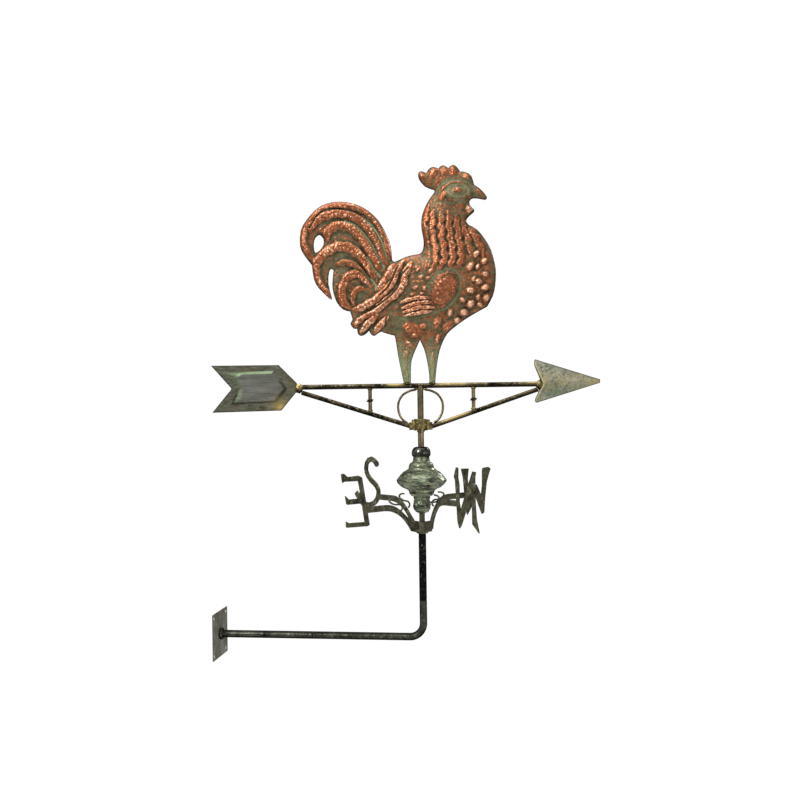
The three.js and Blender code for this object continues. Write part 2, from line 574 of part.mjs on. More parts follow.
function roosterShell(side) {
  const outer = (x, z) => halfThickness(x, z, insideDepth(x, z));
  const inner = (x, z) => {
    const depth = insideDepth(x, z);
    return depth > SOLDER ? halfThickness(x, z, depth) - SHEET * 1.2 : -FIELD.back / 2;
  };
  const slab = plateXZ(silhouette, 60).translate(0, side * (30 + SEAM), 0);
  return geometryOf(solidOf(slab)
    .intersect(solidOf(reliefBlock(outer, side)))
    .subtract(solidOf(reliefBlock(inner, side))));
}

const FEET = { rear: -20.5, front: 19.5 };
addPiece(vane, 'rooster_near_shell', roosterShell(-1), 'copper');
addPiece(vane, 'rooster_far_shell', roosterShell(1), 'copper');
for (const [name, x] of Object.entries(FEET)) {
  const foot = new THREE.BoxGeometry(12, 2 * RIM + 3 * GAP + 2, 40).translate(x, 0, FOOT_Z + 16);
  addPiece(vane, `foot_weld_${name}`, weldBead(x, FOOT_Z - 1.5, [9.5, 7, 4.2], fatArrow(), foot), 'brass');
}

export default group;
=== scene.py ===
"""Rooster weather vane on a wall bracket: embossed copper, verdigris and weathered steel.

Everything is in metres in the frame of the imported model. Shapes on the vane are drawn in its own
upright plane, in millimetres: x from the mast's axis towards the arrowhead, z as height.
"""
import json
import math

import bmesh
import bpy
import numpy as np
from mathutils import Matrix, Vector, noise


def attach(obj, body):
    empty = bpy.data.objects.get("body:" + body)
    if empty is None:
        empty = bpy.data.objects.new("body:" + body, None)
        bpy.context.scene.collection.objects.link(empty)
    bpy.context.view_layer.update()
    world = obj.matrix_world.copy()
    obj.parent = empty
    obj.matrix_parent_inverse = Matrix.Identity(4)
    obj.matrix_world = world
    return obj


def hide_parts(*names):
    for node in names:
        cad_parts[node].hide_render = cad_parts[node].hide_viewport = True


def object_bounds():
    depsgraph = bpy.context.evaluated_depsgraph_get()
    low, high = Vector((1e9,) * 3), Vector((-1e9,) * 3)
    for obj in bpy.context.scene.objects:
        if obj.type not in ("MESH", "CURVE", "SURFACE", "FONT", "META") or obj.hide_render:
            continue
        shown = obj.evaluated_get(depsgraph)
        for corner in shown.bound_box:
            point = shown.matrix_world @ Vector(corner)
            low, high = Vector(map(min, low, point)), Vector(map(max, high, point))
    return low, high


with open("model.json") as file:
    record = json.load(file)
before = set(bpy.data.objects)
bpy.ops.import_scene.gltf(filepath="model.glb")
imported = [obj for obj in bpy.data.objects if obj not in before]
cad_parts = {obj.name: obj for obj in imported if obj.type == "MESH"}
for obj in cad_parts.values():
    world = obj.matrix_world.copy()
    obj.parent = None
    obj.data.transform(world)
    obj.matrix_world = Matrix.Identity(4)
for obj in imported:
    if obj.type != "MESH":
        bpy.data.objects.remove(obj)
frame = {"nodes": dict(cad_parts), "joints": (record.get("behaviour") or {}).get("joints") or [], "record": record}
cad_bounds = [list(corner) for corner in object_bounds()]

MM = 0.001
MAST_X = next(j for j in frame["joints"] if j["name"] == "vane_spin")["pos_m"][0] / MM
VANE_BEARING = math.radians(7.5)
VANE_TURN = Matrix.Scale(MM, 4) @ Matrix.Translation((MAST_X, 0, 0)) @ Matrix.Rotation(VANE_BEARING, 4, "Z")
MAST_PLACE = Matrix.Scale(MM, 4) @ Matrix.Translation((MAST_X, 0, 0))
SLOTS = {row["node"]: row["material_slot"] for row in frame["record"]["subparts"]}
BODY_OF = {n: body for body, nodes in frame["record"]["behaviour"]["bodies"].items() for n in nodes}


# ---- camera, lights and stage --------------------------------------------------------------

CAMERA_AZIMUTH = math.radians(7.5)
CAMERA_DISTANCE = 1.6
CAMERA_LEFT_OF_MAST = 0.0248
CAMERA_Z = 0.3717
CAMERA_ROLL = math.radians(-0.8)
LENS = 44.4


def make_camera():
    back = Vector((math.sin(CAMERA_AZIMUTH), -math.cos(CAMERA_AZIMUTH), 0))
    right = Vector((math.cos(CAMERA_AZIMUTH), math.sin(CAMERA_AZIMUTH), 0))
    place = Vector((MAST_X * MM, 0, CAMERA_Z)) + back * CAMERA_DISTANCE - right * CAMERA_LEFT_OF_MAST
    turn = Matrix((right, (0, 0, 1), back)).transposed().to_4x4() @ Matrix.Rotation(CAMERA_ROLL, 4, "Z")
    data = bpy.data.cameras.new("camera")
    data.lens = LENS
    camera = bpy.data.objects.new("camera", data)
    camera.matrix_world = Matrix.Translation(place) @ turn
    bpy.context.scene.collection.objects.link(camera)
    bpy.context.scene.camera = camera


def softbox(name, place, aim, size, power, tint=(1, 1, 1)):
    data = bpy.data.lights.new(name, "AREA")
    data.shape = "RECTANGLE"
    data.size, data.size_y = size
    data.energy = power
    data.color = tint
    light = bpy.data.objects.new(name, data)
    light.location = place
    light.rotation_euler = (Vector(aim) - Vector(place)).to_track_quat("-Z", "Y").to_euler()
    bpy.context.scene.collection.objects.link(light)


def make_floor():
    bpy.ops.mesh.primitive_circle_add(vertices=96, radius=1.1, fill_type="NGON",
                                      location=(MAST_X * MM, 0, cad_bounds[0][2] - 0.26))
    floor = bpy.context.object
    floor.name = "floor"
    paint = bpy.data.materials.new("floor_paint")
    paint.use_nodes = True
    shader = paint.node_tree.nodes["Principled BSDF"]
    shader.inputs["Base Color"].default_value = (0.95, 0.95, 0.95, 1)
    shader.inputs["Roughness"].default_value = 1.0
    shader.inputs["Specular IOR Level"].default_value = 0.0
    floor.data.materials.append(paint)


def make_world():
    """A white studio that is seen bright and lights the metal only softly."""
    world = bpy.data.worlds.new("studio")
    world.use_nodes = True
    nodes, links = world.node_tree.nodes, world.node_tree.links
    background = nodes["Background"]
    background.inputs["Color"].default_value = (1, 1, 1, 1)
    seen = nodes.new("ShaderNodeLightPath").outputs["Is Camera Ray"]
    strength = nodes.new("ShaderNodeMapRange")
    strength.inputs["To Min"].default_value = 0.24
    strength.inputs["To Max"].default_value = 1.02
    links.new(seen, strength.inputs["Value"])
    links.new(strength.outputs[0], background.inputs["Strength"])
    bpy.context.scene.world = world
    bpy.context.scene.view_settings.view_transform = "Standard"


def make_lights():
    middle = Vector((MAST_X * MM, 0, 0.45))
    softbox("overhead", middle + Vector((-0.2, -0.2, 1.9)), middle, (2.6, 2.6), 95)
    softbox("key", middle + Vector((-1.1, -1.6, 0.9)), middle, (0.5, 0.5), 30)
    softbox("fill", middle + Vector((1.6, -1.4, 0.1)), middle, (0.9, 0.9), 10, (1, 0.97, 0.92))
    softbox("rear_key", middle + Vector((1.1, 1.6, 0.9)), middle, (0.5, 0.5), 30)


# ---- materials -----------------------------------------------------------------------------

class Finish:
    """A material whose nodes are written as short calls."""

    def __init__(self, name, metallic=0.0):
        self.material = bpy.data.materials.new(name)
        self.material.use_nodes = True
        self.nodes = self.material.node_tree.nodes
        self.links = self.material.node_tree.links
        self.shader = self.nodes["Principled BSDF"]
        self.place = self.nodes.new("ShaderNodeTexCoord").outputs["Object"]
        self.set("Metallic", metallic)
        self.set("Specular Tint", EDGE_TINT)

    def node(self, kind, inputs, output=0, **settings):
        made = self.nodes.new(kind)
        for key, value in settings.items():
            setattr(made, key, value)
        for key, value in inputs.items():
            self.feed(made.inputs[key], value)
        return made.outputs[output]

    def feed(self, socket, value):
        if isinstance(value, bpy.types.NodeSocket):
            self.links.new(value, socket)
        else:
            socket.default_value = value

    def set(self, name, value):
        self.feed(self.shader.inputs[name], value)

    def noise(self, per_metre, detail=4.0, rough=0.55, stretch=(1, 1, 1)):
        where = self.node("ShaderNodeMapping", {"Vector": self.place, "Scale": stretch})
        return self.node("ShaderNodeTexNoise",
                         {"Vector": where, "Scale": per_metre, "Detail": detail, "Roughness": rough})

    def cells(self, per_metre, output="Distance"):
        return self.node("ShaderNodeTexVoronoi", {"Vector": self.place, "Scale": per_metre}, output)

    def attribute(self, name):
        return self.node("ShaderNodeAttribute", {}, "Fac", attribute_name=name)

    def span(self, value, low, high, to_low=0.0, to_high=1.0):
        return self.node("ShaderNodeMapRange", {"Value": value, "From Min": low, "From Max": high,
                                                "To Min": to_low, "To Max": to_high})

    def math(self, operation, a, b=0.0):
        return self.node("ShaderNodeMath", {0: a, 1: b}, operation=operation)

    def mix(self, amount, a, b):
        made = self.nodes.new("ShaderNodeMix")
        made.data_type = "RGBA"
        self.feed(made.inputs[0], amount)
        self.feed(made.inputs[6], a)
        self.feed(made.inputs[7], b)
        return made.outputs[2]

    def bump(self, height, distance, strength=1.0, under=None):
        inputs = {"Height": height, "Distance": distance, "Strength": strength}
        if under is not None:
            inputs["Normal"] = under
        return self.node("ShaderNodeBump", inputs)

    def facing(self, low, high):
        """From 0 to 1 as the surface turns: its normal's height goes from low to high."""
        normal = self.node("ShaderNodeNewGeometry", {}, "Normal")
        return self.span(self.node("ShaderNodeSeparateXYZ", {0: normal}, "Z"), low, high)

    def drawn_surface(self, colour, tone, dull, bright):
        """Colour, roughness that follows the tone, and the fine grain of drawn metal."""
        self.set("Base Color", colour)
        self.set("Roughness", self.span(tone, 0.3, 0.7, dull, bright))
        self.set("Normal", self.bump(self.noise(900, 3, 0.6), 0.0002, 0.35))
        return self.material


def rgb(red, green, blue):
    """A colour from 8-bit sRGB values, as the linear values that a socket holds."""
    def linear(value):
        c = value / 255
        return c / 12.92 if c <= 0.04045 else ((c + 0.055) / 1.055) ** 2.4
    return (linear(red), linear(green), linear(blue), 1.0)


COPPER = rgb(166, 97, 63)
# pale copper for the highest points: partly rubbed bright metal, partly a painted highlight
PALE_COPPER_AND_HIGHLIGHT = rgb(212, 168, 138)
COPPER_DEEP = rgb(124, 72, 46)
OLIVE = rgb(108, 104, 76)
OLIVE_DARK = rgb(70, 66, 46)
SHADOW = rgb(34, 28, 16)
GREEN_PALE = rgb(142, 156, 118)
# painted shade and painted dark reflection, laid on tubes by which way their surface faces
PAINTED_SHADE_AND_REFLECTION = rgb(14, 13, 8)
EDGE_TINT = (0.2, 0.2, 0.2, 1)     # metal darkens where it turns away


def rooster_finish():
    """Copper where the sheet stands proud, olive and green patina where it lies back; painted shade in
    hollows, along the rim and on the edge walls, and a painted highlight on the highest points.
    """
    f = Finish("rooster_copper")
    blotch = f.noise(60, 6, 0.68)
    fleck = f.noise(260, 5, 0.65)
    grain = f.noise(620, 4, 0.6)
    bare = f.math("ADD", f.attribute("bare"), f.span(blotch, 0.3, 0.7, -0.24, 0.24))
    bare = f.math("ADD", bare, f.span(fleck, 0.34, 0.66, -0.3, 0.24))
    shown = f.span(bare, 0.26, 0.66)
    copper = f.mix(f.span(f.noise(150, 5, 0.62), 0.38, 0.62), COPPER_DEEP, COPPER)
    # pale copper where the bare mark runs highest: partly rubbed metal, partly a painted highlight
    copper = f.mix(f.span(bare, 0.95, 1.5), copper, PALE_COPPER_AND_HIGHLIGHT)
    patina = f.mix(f.span(f.noise(90, 6, 0.65), 0.36, 0.64), OLIVE_DARK, OLIVE)
    colour = f.mix(shown, patina, copper)
    # painted shade in hollows, along the rim and on the edge walls
    colour = f.mix(f.attribute("cavity"), colour, SHADOW)
    colour = f.mix(f.math("MULTIPLY", f.attribute("green"), f.span(grain, 0.3, 0.55)), colour, GREEN_PALE)
    f.set("Base Color", colour)
    f.set("Metallic", f.span(shown, 0, 1, 0.2, 0.6))
    f.set("Roughness", f.span(shown, 0, 1, 0.56, 0.36))
    fine = f.bump(fleck, 0.0006, 0.5)
    f.set("Normal", f.bump(f.cells(300), 0.0005, 0.3, fine))
    return f.material


def patina_finish(name, base, dark, light, metallic=0.5, roughness=0.5, scale=60.0, stretch=(1, 1, 1)):
    """Weathered sheet: blotches of three tones, dull in the dark ones, with a fine tooth."""
    f = Finish(name, metallic=metallic)
    blotch = f.noise(scale, 6, 0.66, stretch)
    colour = f.mix(f.span(blotch, 0.36, 0.56), dark, base)
    colour = f.mix(f.span(f.noise(scale * 2.3, 5, 0.66, stretch), 0.54, 0.7), colour, light)
    f.set("Base Color", colour)
    f.set("Roughness", f.span(blotch, 0.3, 0.7, roughness + 0.14, roughness - 0.1))
    under = f.bump(f.noise(scale * 12, 3, 0.6), 0.0003, 0.4)
    f.set("Normal", f.bump(f.cells(scale * 4), 0.0004, 0.3, under))
    return f.material


def bar_finish(name, base, dark, light, metallic=0.85, roughness=0.4, painted_top_reflection=0.0):
    """Drawn tube or wire: tone wanders along it, with light rub marks, painted shade beneath
    and, as strongly as the last argument asks, a painted dark reflection on top."""
    f = Finish(name, metallic=metallic)
    long_tone = f.noise(30, 5, 0.62)
    colour = f.mix(f.span(long_tone, 0.38, 0.6), dark, base)
    rub = f.span(f.noise(230, 5, 0.7), 0.56, 0.72)
    colour = f.mix(rub, colour, light)
    # painted shade on the underside
    colour = f.mix(f.facing(0.1, -0.45), colour, PAINTED_SHADE_AND_REFLECTION)
    # painted dark reflection along the top
    colour = f.mix(f.math("MULTIPLY", f.facing(0.35, 0.65), painted_top_reflection), colour, PAINTED_SHADE_AND_REFLECTION)
    return f.drawn_surface(colour, long_tone, roughness + 0.12, roughness - 0.1)


def gilt_steel_finish():
    """Dark painted tube, rubbed through to brass-brown along stretches, with painted shade beneath."""
    f = Finish("gilt_steel", metallic=0.85)
    tone = f.noise(40, 5, 0.65)
    colour = f.mix(f.span(tone, 0.42, 0.6), rgb(20, 18, 11), rgb(84, 76, 54))
    colour = f.mix(f.span(f.noise(14, 3, 0.5), 0.52, 0.64), colour, rgb(142, 126, 86))
    rub = f.span(f.noise(200, 5, 0.7), 0.56, 0.72)
    colour = f.mix(rub, colour, rgb(178, 166, 130))
    # painted shade on the underside
    return f.drawn_surface(f.mix(f.facing(0, -0.45), colour, PAINTED_SHADE_AND_REFLECTION), tone, 0.46, 0.3)


def tail_finish():
    """Grey sheet brushed along its length, green on the slopes above and behind, with a painted
    highlight on the top slope and painted shade on the front slope and under the panel.
    """
    f = Finish("tail_sheet", metallic=0.5)
    brushed = f.noise(46, 6, 0.66, (0.35, 1, 3))
    tooth = f.noise(170, 5, 0.7, (0.5, 1, 2))
    panel = f.mix(f.span(brushed, 0.38, 0.62), rgb(84, 85, 78), rgb(114, 114, 108))
    flat = f.mix(f.span(tooth, 0.38, 0.62), rgb(64, 64, 52), rgb(104, 104, 90))
    flat = f.mix(f.span(f.noise(24, 4, 0.6), 0.5, 0.7, 0, 0.5), flat, rgb(106, 96, 66))
    colour = f.mix(f.attribute("panel"), flat, panel)
    green = f.math("MULTIPLY", f.attribute("green"), f.span(tooth, 0.3, 0.56))
    colour = f.mix(green, colour, rgb(98, 116, 84))
    # painted highlight along the top slope
    colour = f.mix(f.math("MULTIPLY", f.attribute("glint"), 0.6), colour, rgb(142, 162, 130))
    # painted shade on the front slope and under the panel, broken up by the brushing
    shade = f.math("MULTIPLY", f.attribute("shade"), f.span(brushed, 0.66, 0.4, 0.5, 1))
    colour = f.mix(shade, colour, rgb(26, 26, 20))
    colour = f.mix(f.attribute("brass"), colour, rgb(184, 160, 92))
    colour = f.mix(f.attribute("brim"), colour, rgb(24, 22, 16))
    f.set("Base Color", colour)
    f.set("Roughness", f.span(brushed, 0.3, 0.7, 0.52, 0.36))
    f.set("Normal", f.bump(tooth, 0.0004, 0.5))
    return f.material


def arrowhead_finish():
    """Grey-green sheet, brassy in patches along its middle and greener below, with a dark rim."""
    f = Finish("arrowhead_sheet", metallic=0.45)
    blotch = f.noise(50, 6, 0.7)
    grain = f.noise(230, 6, 0.72)
    colour = f.mix(f.span(blotch, 0.38, 0.6), rgb(104, 108, 94), rgb(148, 148, 132))
    colour = f.mix(f.span(grain, 0.54, 0.66), colour, rgb(184, 176, 146))
    brass = f.math("MULTIPLY", f.attribute("ridge"), f.span(f.noise(75, 7, 0.8), 0.45, 0.6, 0, 0.9))
    colour = f.mix(brass, colour, rgb(158, 146, 92))
    green = f.math("MULTIPLY", f.attribute("low"), f.span(f.noise(34, 6, 0.72), 0.4, 0.66, 0, 0.85))
    colour = f.mix(green, colour, rgb(92, 112, 84))
    colour = f.mix(f.span(grain, 0.46, 0.34), colour, rgb(66, 68, 54))
    colour = f.mix(f.attribute("hem"), colour, rgb(190, 180, 134))
    colour = f.mix(f.attribute("brim"), colour, rgb(50, 50, 40))
    f.set("Base Color", colour)
    f.set("Roughness", f.span(blotch, 0.3, 0.7, 0.56, 0.38))
    f.set("Normal", f.bump(grain, 0.0005, 0.6))
    return f.material


def make_finishes():
    """Every finish by name: base, dark and light tones, then how metallic and how rough."""
    return {
        "rooster": rooster_finish(),
        "tail": tail_finish(),
        "arrowhead": arrowhead_finish(),
        "gilt_steel": gilt_steel_finish(),
        "seam": patina_finish("seam_patina", rgb(40, 36, 24), rgb(22, 20, 14), rgb(80, 58, 38), 0.5, 0.55),
        "plate": patina_finish("wall_plate_steel", rgb(104, 102, 94), rgb(74, 72, 60), rgb(116, 112, 106),
                               0.5, 0.5, 34.0),
        "letters": patina_finish("letter_plate", rgb(80, 78, 62), rgb(34, 34, 26), rgb(124, 122, 98),
                                 0.4, 0.5, 55.0),
        "verdigris": patina_finish("verdigris", rgb(102, 110, 90), rgb(14, 16, 11), rgb(172, 166, 134),
                                   0.55, 0.32, 70.0, (0.55, 0.55, 2.2)),
        "hub": patina_finish("hub_brass", rgb(120, 108, 70), rgb(28, 28, 19), rgb(206, 184, 126),
                             0.75, 0.36, 110.0),
        "steel": bar_finish("weathered_steel", rgb(76, 76, 62), rgb(40, 42, 32), rgb(132, 126, 104)),
        # the arm gets a painted dark reflection along its top as well as painted shade beneath
        "arm": bar_finish("arm_steel", rgb(78, 79, 71), rgb(24, 25, 20), rgb(136, 136, 127), painted_top_reflection=0.85),
        "black_steel": bar_finish("black_paint", rgb(26, 26, 24), rgb(6, 6, 5), rgb(116, 116, 110), 0.7, 0.3),
        "bright_steel": bar_finish("bare_steel", rgb(150, 148, 138), rgb(92, 90, 80), rgb(205, 202, 190),
                                   1.0, 0.3),
        "nut": bar_finish("nut_paint", rgb(80, 80, 74), rgb(20, 20, 18), rgb(190, 190, 182), 0.8, 0.28),
        "brass": bar_finish("weld_brass", rgb(146, 130, 82), rgb(72, 66, 42), rgb(200, 184, 134), 0.8, 0.42),
        "bronze": bar_finish("bronze_plate", rgb(158, 144, 108), rgb(88, 80, 56), rgb(206, 192, 152),
                             0.8, 0.34),
    }


# ---- mesh building -------------------------------------------------------------------------

def add_piece(name, mesh, finish, nodes, body=None, angle=40):
    """Link a finished mesh as a piece that stands for CAD nodes and rides on their body."""
    piece = bpy.data.objects.new(name, mesh)
    bpy.context.scene.collection.objects.link(piece)
    mesh.materials.clear()
    mesh.materials.append(finish)
    mesh.shade_smooth()
    mesh.set_sharp_from_angle(angle=math.radians(angle))
    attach(piece, body or BODY_OF[nodes[0]])
    if nodes:
        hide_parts(*nodes)
    return piece


def mesh_of(name, vertices, faces, place=Matrix.Identity(4)):
    mesh = bpy.data.meshes.new(name)
    mesh.from_pydata([tuple(v) for v in vertices], [], faces)
    mesh.transform(place)
    mesh.update()
    return mesh


def smooth_line(points, step, closed=False):
    """Points every `step` along a Catmull-Rom curve through the given ones."""
    knots = [Vector(p) for p in points]
    count = len(knots)
    spans = count if closed else count - 1
    line = []
    for i in range(spans):
        p1, p2 = knots[i], knots[(i + 1) % count]
        p0 = knots[i - 1] if closed or i > 0 else p1 * 2 - p2
        p3 = knots[(i + 2) % count] if closed or i + 2 < count else p2 * 2 - p1
        parts = max(1, round((p2 - p1).length / step))
        for k in range(parts):
            t = k / parts
            line.append(0.5 * (2 * p1 + (p2 - p0) * t + (2 * p0 - 5 * p1 + 4 * p2 - p3) * t ** 2
                               + (3 * p1 - p0 - 3 * p2 + p3) * t ** 3))
    if not closed:
        line.append(knots[-1].copy())
    return line


def swept(line, radius, sides=24, closed=False, uneven=0.0):
    """A round bar along a line, its ends closed with a small chamfer. Returns vertices and faces."""
    count = len(line)
    vertices, faces, normal = [], [], None
    for i, point in enumerate(line):
        ahead = line[(i + 1) % count] if closed or i + 1 < count else point
        behind = line[i - 1] if closed or i > 0 else point
        along = (ahead - behind).normalized()
        if normal is None:
            normal = along.orthogonal().normalized()
        normal = (normal - along * normal.dot(along)).normalized()
        across = along.cross(normal)
        end = not closed and i in (0, count - 1)
        for k in range(sides):
            turn = 2 * math.pi * k / sides
            out = normal * math.cos(turn) + across * math.sin(turn)
            r = radius * (0.9 if end else 1.0)
            r += uneven * noise.noise((point + out * radius) * 0.35)
            vertices.append(point + out * r)
    rings = count if closed else count - 1
    for i in range(rings):
        a, b = i * sides, ((i + 1) % count) * sides
        faces += [(a + k, a + (k + 1) % sides, b + (k + 1) % sides, b + k) for k in range(sides)]
    if not closed:
        faces += [tuple(reversed(range(sides))), tuple(range((count - 1) * sides, count * sides))]
    return vertices, faces


def add_bar(name, line, radius, finish, place, sides=24, uneven=0.05, nodes=None, closed=False):
    vertices, faces = swept(line, radius, sides, closed, uneven)
    mesh = mesh_of(name, vertices, faces, place)
    return add_piece(name, mesh, finish, nodes or [name])


def straight(start, end, step=3.0):
    """A straight line of points from start to end, with the first and last step kept short."""
    start, end = Vector(start), Vector(end)
    length = (end - start).length
    count = max(2, round(length / step))
    inner = [start.lerp(end, (0.4 + (length - 0.8) * i / count) / length) for i in range(count + 1)]
    return [start, *inner, end]


def lathe(name, profile, finish, nodes, turns=96, dents=0.0, flutes=0.0):
    """A turned piece on the mast's axis, dented, with shallow slanting flutes; profile is closed."""
    vertices, faces = [], []
    count = len(profile)
    for r, z in profile:
        for k in range(turns):
            turn = 2 * math.pi * k / turns
            point = Vector((r * math.cos(turn), r * math.sin(turn), z))
            push = dents * noise.noise(point * 0.16) + 0.5 * dents * noise.noise(point * 0.5)
            push += flutes * math.sin(11 * turn + 0.45 * z + 1.5 * noise.noise(point * 0.08))
            vertices.append(point + Vector((point.x, point.y, 0)).normalized() * push)
    for i in range(count):
        a, b = i * turns, ((i + 1) % count) * turns
        faces += [(a + k, a + (k + 1) % turns, b + (k + 1) % turns, b + k) for k in range(turns)]
    return add_piece(name, mesh_of(name, vertices, faces, MAST_PLACE), finish, nodes, angle=50)


def softened(node, finish, width=0.5, segments=2):
    """A CAD node's own shape with its flats merged and its edges eased; wires only shade round."""
    mesh = frame["nodes"][node].data.copy()
    bm = bmesh.new()
    bm.from_mesh(mesh)
    bmesh.ops.remove_doubles(bm, verts=bm.verts, dist=2e-5)
    bmesh.ops.dissolve_limit(bm, angle_limit=math.radians(1.5), verts=bm.verts, edges=bm.edges)
    bm.to_mesh(mesh)
    bm.free()
    piece = add_piece(f"{node}_eased", mesh, finish, [node], angle=40 if width else 80)
    if not width:
        return
    bevel = piece.modifiers.new("eased", "BEVEL")
    bevel.width = width * MM
    bevel.segments = segments
    bevel.limit_method = "ANGLE"
    bevel.angle_limit = math.radians(35)


def lump(name, x, z, radii, seed, finish, extra=False):
    """A bead of weld metal on the vane: a ball pushed out into overlapping ripples."""
    bm = bmesh.new()
    bmesh.ops.create_icosphere(bm, subdivisions=4, radius=1)
    shift = Vector((seed * 3.7, seed * 1.3, seed * 2.1))
    for v in bm.verts:
        ripple = 0.1 * noise.noise(v.co * 2.2 + shift) + 0.05 * math.sin(9 * v.co.x + seed)
        v.co = Vector(v.co[k] * radii[k] * (0.97 + ripple) for k in range(3)) + Vector((x, 0, z))
    mesh = bpy.data.meshes.new(name)
    bm.to_mesh(mesh)
    bm.free()
    mesh.transform(VANE_TURN)
    if extra:
        return add_piece(f"{name}_bead", mesh, finish, [], body="vane", angle=80)
    return add_piece(f"{name}_bead", mesh, finish, [name], angle=80)


# ---- sheets drawn as heights over their own plane ----------------------------------------------

def loops_of(node):
    """The outlines of a CAD sheet as closed loops of (x, z) in the vane's plane: the border of
    all that faces the near side."""
    mesh = bmesh.new()
    mesh.from_mesh(frame["nodes"][node].data)
    mesh.transform(VANE_TURN.inverted())
    bmesh.ops.remove_doubles(mesh, verts=mesh.verts, dist=0.02)
    mesh.normal_update()
    for face in mesh.faces:
        face.tag = face.normal.y < -0.05
    following = {}
    for face in mesh.faces:
        for loop in face.loops:
            if face.tag and not any(f.tag for f in loop.edge.link_faces if f is not face):
                following[loop.vert] = loop.link_loop_next.vert
    loops = []
    while following:
        start, vertex = following.popitem()
        loop = [start]
        while vertex is not start:
            loop.append(vertex)
            vertex = following.pop(vertex)
        loops.append(np.array([(v.co.x, v.co.z) for v in loop]))
    mesh.free()
    return loops


def nearest_on(loops, x, z):
    """How deep each point lies inside the loops (negative outside), and the nearest outline point."""
    best = np.full(x.shape, np.inf)
    near_x, near_z = np.zeros_like(x), np.zeros_like(z)
    inside = np.zeros(x.shape, bool)
    for loop in loops:
        for (ax, az), (bx, bz) in zip(loop, np.roll(loop, -1, axis=0)):
            dx, dz = bx - ax, bz - az
            span = dx * dx + dz * dz
            if span < 1e-9:
                continue
            t = np.clip(((x - ax) * dx + (z - az) * dz) / span, 0, 1)
            px, pz = ax + t * dx, az + t * dz
            away = (x - px) ** 2 + (z - pz) ** 2
            closer = away < best
            best = np.where(closer, away, best)
            near_x, near_z = np.where(closer, px, near_x), np.where(closer, pz, near_z)
            if az != bz:
                inside ^= ((az > z) != (bz > z)) & (x < ax + dx * (z - az) / dz)
    depth = np.sqrt(best)
    return np.where(inside, depth, -depth), near_x, near_z


DOT_PITCH = 5.2


